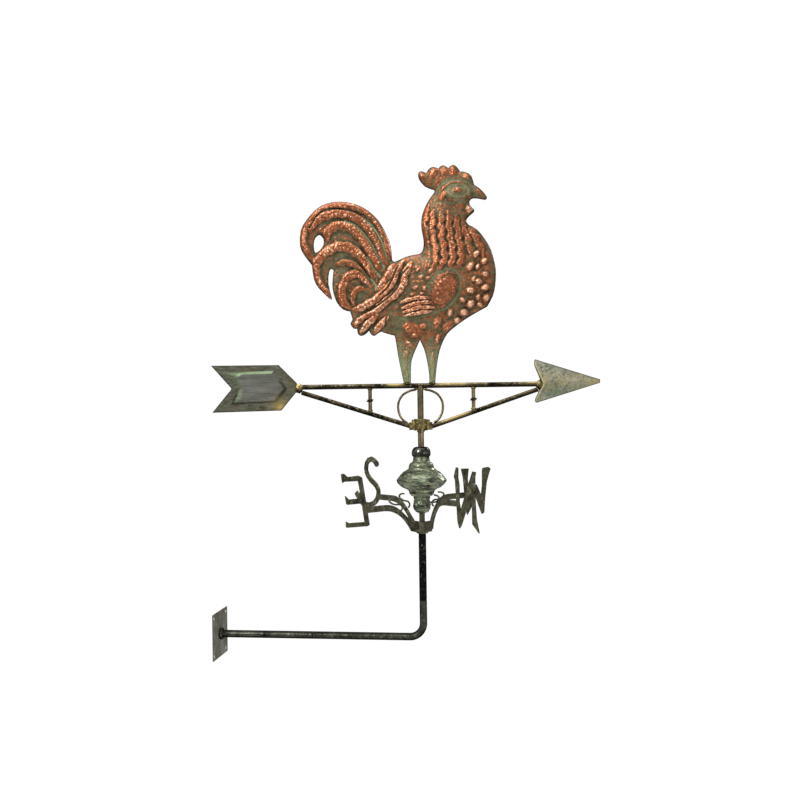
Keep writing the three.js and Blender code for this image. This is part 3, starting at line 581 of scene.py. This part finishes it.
class Sheet:
    """An even grid over a sheet's outline, with the height of the metal at each point, in mm."""

    def __init__(self, loops, pitch):
        every = np.concatenate(loops)
        low, high = every.min(0) - 2 * pitch, every.max(0) + 2 * pitch
        xs = np.arange(low[0], high[0], pitch)
        zs = np.arange(low[1], high[1], pitch)
        self.pitch = pitch
        self.x, self.z = np.meshgrid(xs, zs)
        self.depth, self.near_x, self.near_z = nearest_on(loops, self.x, self.z)
        self.rise = np.zeros_like(self.x)
        self.bare = np.zeros_like(self.x)
        self.green = np.zeros_like(self.x)

    def along(self, line):
        """Distance to a smooth line, distance travelled along it, signed side, and its length."""
        points = np.array([tuple(p) for p in smooth_line([(x, z, 0) for x, z in line], 3.0)])[:, :2]
        best = np.full(self.x.shape, np.inf)
        travel, side = np.zeros_like(self.x), np.zeros_like(self.x)
        run = 0.0
        for (ax, az), (bx, bz) in zip(points[:-1], points[1:]):
            dx, dz = bx - ax, bz - az
            length = math.hypot(dx, dz)
            t = np.clip(((self.x - ax) * dx + (self.z - az) * dz) / length ** 2, 0, 1)
            away = np.hypot(self.x - ax - t * dx, self.z - az - t * dz)
            closer = away < best
            best = np.where(closer, away, best)
            travel = np.where(closer, run + t * length, travel)
            turn = (dx * (self.z - az) - dz * (self.x - ax)) / length
            side = np.where(closer, turn, side)
            run += length
        return best, travel, side, run

    def ridge(self, line, half_width, rise, dots=0.0, bare=1.0, taper=14.0, wave=0.3):
        """A raised feather or strand with tapered ends, and two rows of punched dots along it."""
        away, travel, side, length = self.along(line)
        sway = 0.2 * wave * half_width * np.sin(0.29 * travel + length)
        away = np.sqrt(np.maximum(away ** 2 - side ** 2, 0) + (side + sway) ** 2)
        ends = np.clip(np.minimum(travel, length - travel) / taper + 0.25, 0, 1) ** 0.6
        reach = half_width * ends * (1 + 0.2 * wave * np.sin(0.43 * travel + 2 * length))
        across = np.clip(away / reach, 0, 1)
        body = (1 - across ** 2.4) ** 0.8
        lift = rise * ends * body
        shine = bare * np.clip(1.5 * body, 0, 1)
        if dots:
            step = travel / DOT_PITCH + np.where(side > 0, 0.0, 0.5) + 0.3 * np.sin(0.37 * travel + length)
            bead = np.clip(np.cos(2 * np.pi * step) * 1.6, 0, 1)
            bead *= np.clip(1.3 - np.abs(np.abs(side) / half_width - 0.4) / 0.3, 0, 1) * ends * (across < 1)
            bead *= 0.5 + 0.5 * np.sin(12.9898 * np.floor(step + 0.5) + 78.2 * (side > 0) + length)
            lift = lift + dots * bead
            # the dots' tops turn paler: bare copper, and at the top of the scale a painted highlight
            shine = shine + 0.35 * bead
        self.rise = np.maximum(self.rise, lift)
        self.bare = np.maximum(self.bare, shine)

    def pebbles(self, pitch, seed):
        """Scattered punch marks of many sizes: 1 in the middle of the largest, 0 between them."""
        scatter = np.random.default_rng(seed)
        column, row = np.floor(self.x / pitch).astype(int), np.floor(self.z / pitch).astype(int)
        column, row = column - column.min() + 1, row - row.min() + 1
        left = np.floor(self.x.min() / pitch) - 1
        low = np.floor(self.z.min() / pitch) - 1
        spots = scatter.uniform(0.1, 0.9, (row.max() + 2, column.max() + 2, 3))
        marks = np.zeros_like(self.x)
        for down in (-1, 0, 1):
            for over in (-1, 0, 1):
                spot = spots[row + down, column + over]
                away = np.hypot(self.x / pitch - left - column - over - spot[..., 0],
                                self.z / pitch - low - row - down - spot[..., 1])
                marks = np.maximum(marks, spot[..., 2] * np.clip(1 - (away / 0.55) ** 2, 0, 1))
        return marks

    def hammer(self):
        """Gentle unevenness of hand-worked sheet, from a few crossing waves."""
        waves = np.random.default_rng(7)
        for _ in range(9):
            turn, length, start = waves.uniform(0, math.pi), waves.uniform(7, 22), waves.uniform(0, 6)
            run = self.x * math.cos(turn) + self.z * math.sin(turn)
            self.rise += 0.14 * np.sin(2 * np.pi * run / length + start)

    def groove(self, line, half_width, depth, green=0.0):
        away, _, _, _ = self.along(line)
        across = np.clip(away / half_width, 0, 1)
        body = 0.5 + 0.5 * np.cos(np.pi * across)
        self.rise -= depth * body
        self.bare *= 1 - 0.95 * body
        self.green = np.maximum(self.green, green * body)

    def dome(self, x, z, half_long, half_short, tilt, rise, bare=1.0, flat=1.0):
        """A raised oval, its long side turned by `tilt` degrees; `flat` below 1 levels its top."""
        a = math.radians(tilt)
        u = (self.x - x) * math.cos(a) + (self.z - z) * math.sin(a)
        v = (self.z - z) * math.cos(a) - (self.x - x) * math.sin(a)
        across = np.clip(np.hypot(u / half_long, v / half_short), 0, 1)
        body = (0.5 + 0.5 * np.cos(np.pi * across)) ** flat
        self.rise = np.maximum(self.rise, rise * body)
        self.bare = np.maximum(self.bare, bare * np.minimum(1, 1.6 * body))

    def ring_of_dots(self, x, z, half_long, half_short, tilt, count, size, rise):
        a = math.radians(tilt)
        for k in range(count):
            turn = 2 * math.pi * k / count
            u, v = half_long * math.cos(turn), half_short * math.sin(turn)
            self.dome(x + u * math.cos(a) - v * math.sin(a), z + u * math.sin(a) + v * math.cos(a),
                      size, size, 0, rise)

    def cavity(self, reach):
        """How far each point lies below the middle height around it."""
        spread = self.rise.copy()
        for _ in range(2):
            for axis in (0, 1):
                width = 2 * reach + 1
                padded = np.pad(spread, [(reach + 1, reach) if a == axis else (0, 0) for a in (0, 1)], "edge")
                total = np.cumsum(padded, axis=axis)
                low = np.take(total, range(0, spread.shape[axis]), axis=axis)
                high = np.take(total, range(width, spread.shape[axis] + width), axis=axis)
                spread = (high - low) / width
        return spread - self.rise

    def mesh(self, name, height, side, foot, marks, wall_marks):
        """The metal's face on one side of the plane, with a wall down to `foot` all round."""
        inside = self.depth > 0
        cell = inside[:-1, :-1] | inside[1:, :-1] | inside[:-1, 1:] | inside[1:, 1:]
        used = np.zeros_like(inside)
        for rows in (slice(None, -1), slice(1, None)):
            for columns in (slice(None, -1), slice(1, None)):
                used[rows, columns] |= cell
        number = np.full(inside.shape, -1)
        number[used] = np.arange(used.sum())
        x = np.where(inside, self.x, self.near_x)[used]
        z = np.where(inside, self.z, self.near_z)[used]
        y = side * height[used]
        corners = [number[:-1, :-1], number[:-1, 1:], number[1:, 1:], number[1:, :-1]]
        quads = np.stack([c[cell] for c in corners], axis=1)
        if side > 0:
            quads = quads[:, ::-1]
        edges = np.stack([quads, np.roll(quads, -1, axis=1)], axis=2).reshape(-1, 2)
        keys = edges[:, 0] * len(x) + edges[:, 1]
        back = edges[:, 1] * len(x) + edges[:, 0]
        open_edges = edges[~np.isin(keys, back)]
        rim = np.unique(open_edges)
        low = np.full(len(x), -1)
        low[rim] = len(x) + np.arange(len(rim))
        walls = np.stack([open_edges[:, 1], open_edges[:, 0], low[open_edges[:, 0]],
                          low[open_edges[:, 1]]], axis=1)
        x, z = np.concatenate([x, x[rim]]), np.concatenate([z, z[rim]])
        y = np.concatenate([y, np.full(len(rim), side * foot)])
        mesh = mesh_of(name, np.stack([x, y, z], axis=1), np.concatenate([quads, walls]).tolist(), VANE_TURN)
        for mark, values in marks.items():
            layer = mesh.attributes.new(mark, "FLOAT", "POINT")
            worth = np.concatenate([values[used], np.full(len(rim), wall_marks[mark])])
            layer.data.foreach_set("value", np.ascontiguousarray(worth, np.float32))
        return mesh


# ---- rooster -------------------------------------------------------------------------------

SEAM = 0.15
RIM = 2.0
EMBOSS = 3.4
EDGE_RUN = 5.0
BULGES = [(44, 575, 62, 60, 20), (44, 662, 28, 46, 7.5), (58, 706, 24, 22, 6.5)]

TAIL_FEATHERS = [
    [(-46, 606), (-49, 628), (-57, 652), (-70, 672), (-89, 686), (-108, 692), (-124, 693), (-144, 690),
     (-163, 680), (-176, 666), (-183, 649), (-184, 633), (-179, 619), (-170, 607)],
    [(-174, 652), (-166, 666), (-153, 674), (-136, 679), (-116, 679), (-101, 673), (-85, 662),
     (-74, 648), (-64, 632), (-57, 611), (-52, 598)],
    [(-146, 637), (-144, 650), (-134, 658), (-122, 660), (-109, 656), (-98, 648), (-87, 635),
     (-77, 619), (-68, 601), (-62, 591)],
    [(-141, 546), (-155, 559), (-163, 575), (-165, 593), (-159, 607), (-148, 618), (-132, 625),
     (-117, 626), (-103, 619), (-92, 610), (-81, 595), (-72, 577)],
    [(-132, 597), (-118, 601), (-105, 597), (-94, 587), (-83, 573)],
    [(-112, 528), (-122, 541), (-123, 557), (-118, 572), (-108, 581), (-97, 582), (-86, 574), (-76, 563)],
    [(-104, 533), (-106, 546), (-101, 555), (-93, 559), (-85, 556)],
]
FEATHER_WIDTHS = [7.5, 8.5, 8.5, 9.0, 6.0, 8.0, 5.5]
FEATHER_BARE = [0.7, 0.8, 0.8, 0.85, 0.5, 0.8, 0.7]
TAIL_GROOVES = [
    [(-173, 657), (-160, 677), (-144, 686), (-124, 686), (-105, 682), (-92, 676), (-78, 663),
     (-66, 645), (-57, 625), (-50, 603)],
    [(-149, 663), (-136, 668), (-122, 668), (-106, 664), (-93, 654), (-82, 640), (-72, 624), (-62, 604),
     (-56, 591)],
    [(-140, 632), (-133, 644), (-122, 648), (-109, 643), (-100, 634), (-82, 609), (-66, 582)],
    [(-145, 593), (-140, 602), (-130, 609), (-116, 610), (-100, 604), (-89, 592), (-76, 574)],
    [(-137, 560), (-130, 584), (-112, 591), (-99, 590), (-85, 579), (-74, 566)],
]
GREEN_LINES = [
    [(-85, 669), (-69, 652), (-58, 631), (-50, 603)],
    [(-117, 667), (-100, 659), (-80, 637), (-66, 612), (-55, 591)],
    [(-82, 609), (-72, 590), (-62, 577)],
    [(-76, 574), (-69, 563), (-66, 556)],
]
SADDLE = [
    [(-25, 601), (-35, 586), (-43, 567), (-56, 553), (-72, 540), (-91, 529), (-104, 525)],
    [(-12, 598), (-22, 580), (-25, 564), (-38, 548), (-54, 537), (-68, 524), (-82, 514)],
    [(-40, 596), (-55, 570), (-68, 555)],
]
COVERTS = [
    [(-66, 524), (-88, 514), (-104, 502)],
    [(-66, 516), (-82, 503), (-94, 489)],
    [(-50, 512), (-62, 500), (-72, 488)],
]
SADDLE_GROOVES = [
    [(-17, 590), (-30, 575), (-34, 560), (-46, 546), (-62, 534), (-78, 524), (-98, 514)],
    [(-14, 573), (-15, 555), (-27, 540), (-42, 528), (-52, 512), (-54, 498)],
    [(-33, 594), (-48, 562), (-62, 548)],
]
WING = (38, 553, 31, 20, 57)     # shoulder: centre x, z, half long, half short, tilt
WING_FINGERS = [
    [(16, 541), (-8, 541), (-30, 535)],
    [(20, 534), (-4, 533), (-28, 526)],
    [(24, 526), (-2, 526), (-26, 519)],
    [(22, 519), (0, 518), (-24, 513)],
]
WING_FOOT = [(-30, 510), (-7, 511), (17, 516), (38, 523), (56, 538)]
SCALLOPS = [(18, 583, 8, 5, 30), (2, 574, 8, 5, 20), (14, 572, 6, 4, 0), (-6, 558, 8, 4, 25),
            (9, 556, 7, 4, 10), (-10, 547, 8, 4, 0), (4, 548, 6, 3, 10), (-2, 586, 8, 4, 30)]
HACKLES = [
    [(16, 691), (10, 659), (14, 624)],
    [(24, 681), (22, 645), (27, 613), (24, 588)],
    [(36, 676), (37, 640), (41, 608), (35, 587)],
    [(49, 677), (50, 645), (54, 612), (50, 588)],
    [(61, 672), (64, 640), (68, 612), (65, 588)],
    [(70, 660), (80, 630), (86, 602)],
    [(82, 651), (96, 628), (104, 606)],
]
BREAST_BUMPS = [(105, 599), (82, 590), (106, 578), (87, 570), (106, 557), (82, 552), (94, 541), (69, 537),
                (82, 531), (108, 541), (97, 530), (49, 517), (71, 518), (60, 505), (94, 590), (95, 566),
                (92, 610)]
BUMP = (9.0, 6.5, 25, 5.0)       # half long, half short, tilt, rise
GROUND_BARE = 0.5
PUNCH_PITCH = 4.6
# Where the ground is duller or, below 0, brighter: centre x, z, half wide, half tall, by how much.
DULL_PATCHES = [(64, 712, 30, 16, 0.3), (122, 600, 5, 60, 0.3), (0, 498, 40, 10, 0.25),
                (-34, 498, 26, 16, 0.3), (-118, 606, 22, 12, 0.5), (-92, 545, 8, 10, 0.5),
                (98, 570, 26, 50, -0.22), (45, 744, 40, 8, -0.1), (-24, 425, 18, 22, 0.3),
                (20, 425, 16, 22, 0.3)]
THIGHS = [(-12, 494, 22, 15, -30), (6, 497, 9, 6, 20), (28, 502, 13, 8, 60), (29, 476, 11, 5, 70),
          (-17, 469, 9, 6, -20), (-21, 454, 7, 5, 60), (46, 497, 14, 8, 40), (-8, 483, 8, 5, 10)]
SHINS = [
    [(-20, 462), (-24, 440), (-21, 408)],
    [(22, 455), (20, 436), (19, 408)],
]
EYE = (64, 713, 16.5, 10.5)       # centre x, z, half long, half tall
BROW = [(29, 711), (36, 720), (47, 726), (60, 729), (75, 728), (86, 720)]
COMB = [(8, 736, 9, 6, -40), (25, 742, 9, 7, 80), (43, 744, 9, 6, 110), (58, 744, 10, 5, 115),
        (78, 735, 9, 7, -20)]
CHEEK = [(44, 700), (50, 694), (60, 692), (70, 697)]
BEAK_LINE = [(108, 701), (98, 706), (88, 706)]
WATTLE = (82, 683, 11, 8, 75)


def rooster_relief(sheet):
    """Feathers, wing, neck, breast and head, raised over the plain shell in the order they overlap."""
    sheet.bare[:] = GROUND_BARE
    for x, z, half_wide, half_tall, fall in DULL_PATCHES:
        sheet.bare -= fall * np.exp(-((sheet.x - x) / half_wide) ** 2 - ((sheet.z - z) / half_tall) ** 2)
    sheet.hammer()
    for line, width, bare in zip(TAIL_FEATHERS, FEATHER_WIDTHS, FEATHER_BARE):
        sheet.ridge(line, width, 3.2, dots=0.9, bare=bare)
    for line in TAIL_GROOVES:
        sheet.groove(line, 2.4, 1.6)
    for line in SADDLE:
        sheet.ridge(line, 7.0, 3.4, dots=0.4)
    for line in COVERTS:
        sheet.ridge(line, 6.5, 3.4, dots=0.6)
    for line in SADDLE_GROOVES:
        sheet.groove(line, 2.4, 2.0)
    for line in HACKLES:
        sheet.ridge(line, 6.4, 2.6, dots=0.9, bare=0.7, wave=0.9)
    for x, z, half_long, half_short, tilt in SCALLOPS:
        sheet.dome(x, z, half_long, half_short, tilt, 3.0)
    for line in WING_FINGERS:
        sheet.ridge(line, 4.2, 3.0, dots=0.5)
    rooster_wing(sheet)
    half_long, half_short, tilt, rise = BUMP
    for i, (x, z) in enumerate(BREAST_BUMPS):
        size, lean = 1 + 0.22 * math.sin(1.7 * i), tilt + 35 * math.sin(2.4 * i)
        # bare above 1 shows as pale copper with a painted highlight on the bumps' tops
        sheet.dome(x, z, half_long * size, half_short * size, lean, rise * size, bare=1.15, flat=0.8)
    for x, z, half_long, half_short, tilt in THIGHS:
        sheet.dome(x, z, half_long, half_short, tilt, 3.2, bare=0.85, flat=0.7)
    for line in SHINS:
        sheet.ridge(line, 4.6, 2.0, bare=0.5)
    rooster_head(sheet)
    for line in GREEN_LINES:
        sheet.groove(line, 2.2, 0.6, green=1.0)
    sheet.green += 0.85 * np.clip((478 - sheet.z) / 50, 0, 1)
    marks = sheet.pebbles(PUNCH_PITCH, 11)
    sheet.rise += 1.1 * marks * np.clip(sheet.bare, 0.3, 1)
    sheet.bare += 0.5 * (marks - 0.25)


def rooster_wing(sheet):
    """A smooth shoulder with a punched rim, and the groove that sets it off."""
    x, z, half_long, half_short, tilt = WING
    a = math.radians(tilt)
    sheet.dome(x, z, half_long + 2, half_short + 2, tilt, 4.6, bare=0.8, flat=0.4)
    rim = []
    for t in np.linspace(-2.4, 1.9, 16):
        u, v = (half_long + 4) * math.cos(t), (half_short + 4) * math.sin(t)
        rim.append((x + u * math.cos(a) - v * math.sin(a), z + u * math.sin(a) + v * math.cos(a)))
    sheet.groove(rim, 3.2, 3.0, green=0.3)
    sheet.ring_of_dots(x, z, half_long - 3, half_short - 3, tilt, 25, 2.4, 6.0)
    sheet.groove(WING_FOOT, 3.0, 2.4, green=0.25)


def rooster_head(sheet):
    for x, z, half_long, half_short, tilt in COMB:
        sheet.dome(x, z, half_long, half_short, tilt, 2.2, bare=0.75, flat=0.7)
    sheet.groove(BROW, 2.6, 1.8, green=0.35)
    sheet.ridge([(36, 711), (46, 720), (60, 725), (78, 723)], 2.6, 1.6, dots=0.8, bare=0.5, taper=6)
    x, z, half_long, half_tall = EYE
    round_eye = np.hypot((sheet.x - x) / half_long, (sheet.z - z) / half_tall)
    sheet.dome(x, z, half_long, half_tall, 0, 1.6, bare=0.3, flat=0.4)
    lids = np.exp(-((round_eye - 1) / 0.17) ** 2) + 0.8 * np.exp(-((round_eye - 0.58) / 0.12) ** 2)
    sheet.rise -= 1.7 * lids
    sheet.green = np.maximum(sheet.green, 0.45 * lids)
    sheet.dome(x, z, 6.5, 5, 0, 3.4, bare=0.6, flat=0.7)
    sheet.dome(40, 704, 12, 7, 60, 2.0, bare=0.85, flat=0.6)
    sheet.groove(CHEEK, 2.4, 1.8)
    sheet.groove(BEAK_LINE, 1.4, 1.2)
    sheet.dome(98, 711, 9, 4.5, -35, 1.6, bare=0.6)
    x, z, half_long, half_short, tilt = WATTLE
    # the wattle's top also gets the pale copper and painted highlight
    sheet.dome(x, z, half_long, half_short, tilt, 3.2, bare=1.2, flat=0.7)


def make_rooster(finishes):
    loops = loops_of("rooster_near_shell")
    sheet = Sheet(loops, 0.85)
    rooster_relief(sheet)
    inner = 1 - np.exp(-np.maximum(sheet.depth, 0) / EDGE_RUN)
    bulge = sum(rise * np.exp(-((sheet.x - cx) / w) ** 2 - ((sheet.z - cz) / h) ** 2)
                for cx, cz, w, h, rise in BULGES)
    height = RIM + (EMBOSS - 1.2 + bulge) * inner + sheet.rise * np.clip(sheet.depth / 3, 0, 1)
    hollow = sheet.cavity(4)
    brim = np.clip(1 - sheet.depth / 2.2, 0, 1)
    marks = {
        "bare": sheet.bare - 0.3 * np.clip(hollow, 0, 1.6) + 0.2 * np.clip(-hollow, 0, 1.5),
        "green": sheet.green,
        # painted shade: in hollows and along the outline
        "cavity": np.clip(0.7 * hollow + 0.7 * brim, 0, 0.95),
    }
    # the edge walls get full painted shade
    wall_marks = {"bare": 0.1, "green": 0, "cavity": 1}
    for name, side in (("near", -1), ("far", 1)):
        mesh = sheet.mesh(f"rooster_{name}", height, side, SEAM, marks, wall_marks)
        add_piece(f"rooster_{name}", mesh, finishes["rooster"], [f"rooster_{name}_shell"], angle=55)
    for i, loop in enumerate(loops):
        line = [Vector((x, 0, z)) for x, z in loop]
        vertices, faces = swept(line, 0.9, 8, closed=True)
        mesh = mesh_of(f"rooster_seam_{i}", vertices, faces, VANE_TURN)
        add_piece(f"rooster_seam_{i}", mesh, finishes["seam"], [], body="vane", angle=80)


# ---- arrow, braces and ring ----------------------------------------------------------------

ARROW_Z = 402.3
ARROW_HALF = 190
BRACE_ENDS = {"tail": ((-190, 393.8), (-17, 337.8)), "head": ((188.6, 394.1), (17, 336.6))}
STRUTS = {"tail": (-80.5, 358.4), "head": (85, 359.6)}      # x, and z where it meets the brace
RING = [(7.6, 395.9), (16, 394.4), (27, 388.8), (33.8, 379.5), (35.9, 369), (34, 357.5), (28.4, 348),
        (20.8, 342.4)]


def make_arrow(finishes):
    line = straight((-ARROW_HALF, 0, ARROW_Z), (ARROW_HALF, 0, ARROW_Z))
    add_bar("arrow_bar", line, 4, finishes["gilt_steel"], VANE_TURN, nodes=["arrow_tube"])
    for side, ends in BRACE_ENDS.items():
        outer, inner = [(x, 0, z) for x, z in ends]
        add_bar(f"brace_{side}_bar", straight(outer, inner), 3.7, finishes["gilt_steel"], VANE_TURN,
                nodes=[f"brace_{side}"])
    for side, (x, foot) in STRUTS.items():
        line = straight((x, 0, foot), (x, 0, ARROW_Z - 3), 1.5)
        add_bar(f"strut_{side}_bar", line, 3, finishes["bronze"], VANE_TURN, nodes=[f"strut_{side}"])
    for side, sign in (("tail", -1), ("head", 1)):
        line = smooth_line([(sign * x, 0, z) for x, z in RING], 1.5)
        add_bar(f"ring_half_{side}_wire", line, 1.9, finishes["bronze"], VANE_TURN, 16,
                nodes=[f"ring_half_{side}"])
    lump("tail_weld", -194, 400.3, (6.5, 5.4, 8), 1, finishes["brass"])
    lump("head_weld", 191.5, 401, (6.5, 5.6, 8.5), 2, finishes["brass"])
    lump("foot_weld_rear", -20.5, 405.6, (7.5, 5.2, 3), 3, finishes["gilt_steel"])
    lump("foot_weld_front", 19.5, 405.6, (6.5, 5.2, 3), 4, finishes["gilt_steel"])
    lump("ring_weld_tail", -7.5, 397, (3, 2.6, 2.2), 5, finishes["bronze"], extra=True)
    lump("ring_weld_head", 7.5, 397, (3, 2.6, 2.2), 6, finishes["bronze"], extra=True)
    for side, (x, foot) in STRUTS.items():
        lump(f"strut_weld_{side}_top", x, ARROW_Z - 4.4, (4.4, 4, 2), 7, finishes["brass"], extra=True)
        lump(f"strut_weld_{side}_foot", x, foot + 5, (4.4, 4, 2.4), 8, finishes["brass"], extra=True)


def smooth(t):
    t = np.clip(t, 0, 1)
    return t * t * (3 - 2 * t)


TAIL_HALF, PANEL_HALF, PANEL_SLOPE = 1.2, 2.8, 5.5
TAIL_PANEL = np.array([(-302, 377), (-230.5, 379.8), (-212, 400.5), (-234.5, 430), (-311.5, 427.7),
                       (-290.5, 401)])


def make_tail_plate(finishes):
    """A flat plate with a panel pressed out on each side, its walls sloping, a little dented."""
    sheet = Sheet(loops_of("tail_plate"), 1.0)
    sheet.hammer()
    inward, foot_x, foot_z = nearest_on([TAIL_PANEL], sheet.x, sheet.z)
    chevron = smooth((-283 - foot_x) / 14)
    slope = PANEL_SLOPE * (1 + 0.9 * chevron)
    lift = smooth(inward / slope)
    brim = np.clip(sheet.depth / 1.5, 0, 1) ** 0.5
    dents = 0.3 * sheet.rise * brim * (0.3 + lift)
    height = TAIL_HALF - 0.3 * (1 - brim) + (PANEL_HALF - TAIL_HALF) * lift + dents
    wall = np.clip(1 - np.abs(2 * inward / slope - 1), 0, 1) ** 0.5 * (inward > 0)
    nose = smooth((foot_x + 236) / 8) * smooth((412 - foot_z) / 10 + 0.6)
    top = smooth((foot_z - 424) / 3) * (1 - smooth((foot_x + 236) / 4))
    foot_line = np.exp(-((inward - 0.6) / 1.4) ** 2)
    marks = {
        "panel": lift,
        "green": wall * np.clip(0.75 * chevron + top, 0, 1),
        # painted highlight along the top slope, stronger towards the front
        "glint": wall * top * smooth((foot_x + 300) / 70),
        # painted shade on the front slope and along the panel's lower edge
        "shade": np.clip(wall * nose + foot_line * smooth((400 - foot_z) / 8), 0, 1),
        "brass": np.exp(-np.hypot(sheet.x + 224, sheet.z - 371) / 7),
        "brim": 1 - np.clip(sheet.depth / 2.0, 0, 1),
    }
    plain = {mark: 0.0 for mark in marks} | {"brim": 1.0}
    for side, way in (("near", -1), ("far", 1)):
        mesh = sheet.mesh(f"tail_plate_{side}", height, way, 0.0, marks, plain)
        add_piece(f"tail_plate_{side}", mesh, finishes["tail"], ["tail_plate"], angle=60)


HEAD_TIP = np.array([288, 405.7])
HEAD_BARBS = np.array([[184.6, 442], [186.3, 371.9]])
HEAD_EDGE, HEAD_PITCH, HEM_WIDE = 1.0, 0.155, 3.4


def make_arrowhead(finishes):
    """Two sheets bent to a low ridge along the arrow, each with a turned hem along its back edges."""
    sheet = Sheet(loops_of("arrowhead_near_sheet"), 0.8)
    sheet.hammer()
    to_edge = []
    for barb in HEAD_BARBS:
        along = (HEAD_TIP - barb) / np.linalg.norm(HEAD_TIP - barb)
        to_edge.append(np.abs(along[0] * (sheet.z - barb[1]) - along[1] * (sheet.x - barb[0])))
    slope = np.minimum(*to_edge)
    back = (sheet.x < 212) & (sheet.depth < slope - 1.5)
    hem = np.where(back, np.clip(1 - np.abs(sheet.depth - HEM_WIDE / 2) / (HEM_WIDE / 2), 0, 1) ** 0.5, 0)
    brim = np.clip(sheet.depth / 1.5, 0, 1) ** 0.5
    height = HEAD_EDGE - 0.3 * (1 - brim) + HEAD_PITCH * slope + (0.7 * hem + 0.2 * sheet.rise) * brim
    marks = {
        "ridge": np.clip(1.2 - np.abs(sheet.z - HEAD_TIP[1]) / 16, 0, 1),
        "low": smooth((HEAD_TIP[1] + 4 - sheet.z) / 14),
        "hem": 0.8 * hem,
        "brim": (1 - np.clip(sheet.depth / 1.8, 0, 1)) * (1 - 0.6 * hem),
    }
    for side, way in (("near", -1), ("far", 1)):
        mesh = sheet.mesh(f"arrowhead_{side}", height, way, SEAM, marks,
                          {"ridge": 0, "low": 0, "hem": 0, "brim": 1})
        add_piece(f"arrowhead_{side}", mesh, finishes["arrowhead"], [f"arrowhead_{side}_sheet"], angle=60)


# ---- turned pieces and the bracket -------------------------------------------------------------

def rings_of(node):
    """The outer profile of a CAD piece turned about the mast: [(radius, z), ...] upwards."""
    widest = {}
    for v in frame["nodes"][node].data.vertices:
        x, y, z = v.co / MM
        out = Vector((x - MAST_X, y, 0))
        if v.normal.dot(out) > 0.1 * out.length:
            widest[round(z, 1)] = max(out.length, widest.get(round(z, 1), 0))
    return [(radius, z) for z, radius in sorted(widest.items())]


def turned(node, finish, down=0.0, up=0.0, dents=0.0, flutes=0.0, rounded=True):
    """The same turned piece with a smooth outline, carried down and up to meet its neighbours."""
    profile = rings_of(node)
    bore = min(3.3, profile[0][0] - 0.5)
    line = smooth_line([(r, z, 0) for r, z in profile], 0.8 if rounded else 4.0)
    outer = [(p.x, p.y) for p in line]
    outer = [(outer[0][0], outer[0][1] - down), *outer, (outer[-1][0], outer[-1][1] + up)]
    closed = [(bore, outer[0][1]), *outer, (bore, outer[-1][1])]
    lathe(f"{node}_turned", closed, finish, [node], dents=dents, flutes=flutes)


def make_mast(finishes):
    arm_z, mast_top, bend = 59, 165.7, 22
    corner = [(MAST_X - bend + bend * math.sin(t), 0, bend - bend * math.cos(t))
              for t in np.linspace(0, math.pi / 2, 24)]
    line = [*straight((1.8, 0, 0), (MAST_X - bend - 3, 0, 0), 6), *[Vector(p) for p in corner],
            *straight((MAST_X, 0, bend + 3), (MAST_X, 0, arm_z), 3)]
    scale = Matrix.Scale(MM, 4)
    add_bar("bracket_arm_bar", line, 6, finishes["arm"], scale, 36, nodes=["bracket_arm"])
    line = straight((MAST_X, 0, arm_z + 0.3), (MAST_X, 0, mast_top), 3)
    add_bar("mast_bar", line, 6, finishes["black_steel"], scale, 36, nodes=["mast_tube"])
    bead = [Vector((4, 7.6 * math.cos(t), 7.6 * math.sin(t))) for t in np.linspace(0, 2 * math.pi, 48)[:-1]]
    add_bar("arm_weld_bead", bead, 2.2, finishes["arm"], scale, 12, 0.5, nodes=["arm_weld"], closed=True)
    turned("spacer_tube", finishes["letters"], rounded=False)
    turned("spindle_sleeve", finishes["bronze"], rounded=False)
    turned("rotor_bush", finishes["bronze"], rounded=False)
    turned("finial_bulb", finishes["verdigris"], 0, 3.2, dents=1.2, flutes=0.3)
    turned("finial_lower_collar", finishes["verdigris"], 0, 1.1, dents=0.8, flutes=0.2)
    turned("finial_lower_bowl", finishes["verdigris"], 0, 0, dents=1.0, flutes=0.45)
    turned("finial_upper_bowl", finishes["verdigris"], 0, 0.9, dents=1.2)
    turned("finial_collar", finishes["verdigris"], 0, 4.3, dents=0.5)
    turned("finial_top_nut", finishes["nut"])


def make_compass(finishes):
    softened("letter_hub", finishes["letters"], 0.6)
    for side in ("north", "east", "south", "west"):
        softened(f"letter_arm_{side}", finishes["letters"], 0.6)
        softened(f"scroll_{side}", finishes["letters"], 0)


def make_small_parts(finishes):
    softened("wall_plate", finishes["plate"], 0.6)
    softened("rotor_hub", finishes["hub"], 0.7)
    softened("rotor_tube", finishes["bronze"], 0.3)
    for node in ("barb_tail", "barb_head"):
        softened(node, finishes["black_steel"], 0)
    for node in ("mast_set_screw", "hub_set_screw"):
        softened(node, finishes["bright_steel"], 0.2)


def finish_hidden_nodes(finishes):
    """Pieces that stay as they are in the CAD, inside the others."""
    for node, piece in frame["nodes"].items():
        if not piece.hide_render:
            piece.data.materials.clear()
            piece.data.materials.append(finishes[SLOTS[node]])


# ---- build ---------------------------------------------------------------------------------

make_camera()
make_floor()
make_world()
make_lights()
finishes = make_finishes()
make_rooster(finishes)
make_arrow(finishes)
make_tail_plate(finishes)
make_arrowhead(finishes)
make_mast(finishes)
make_compass(finishes)
make_small_parts(finishes)
finish_hidden_nodes(finishes)
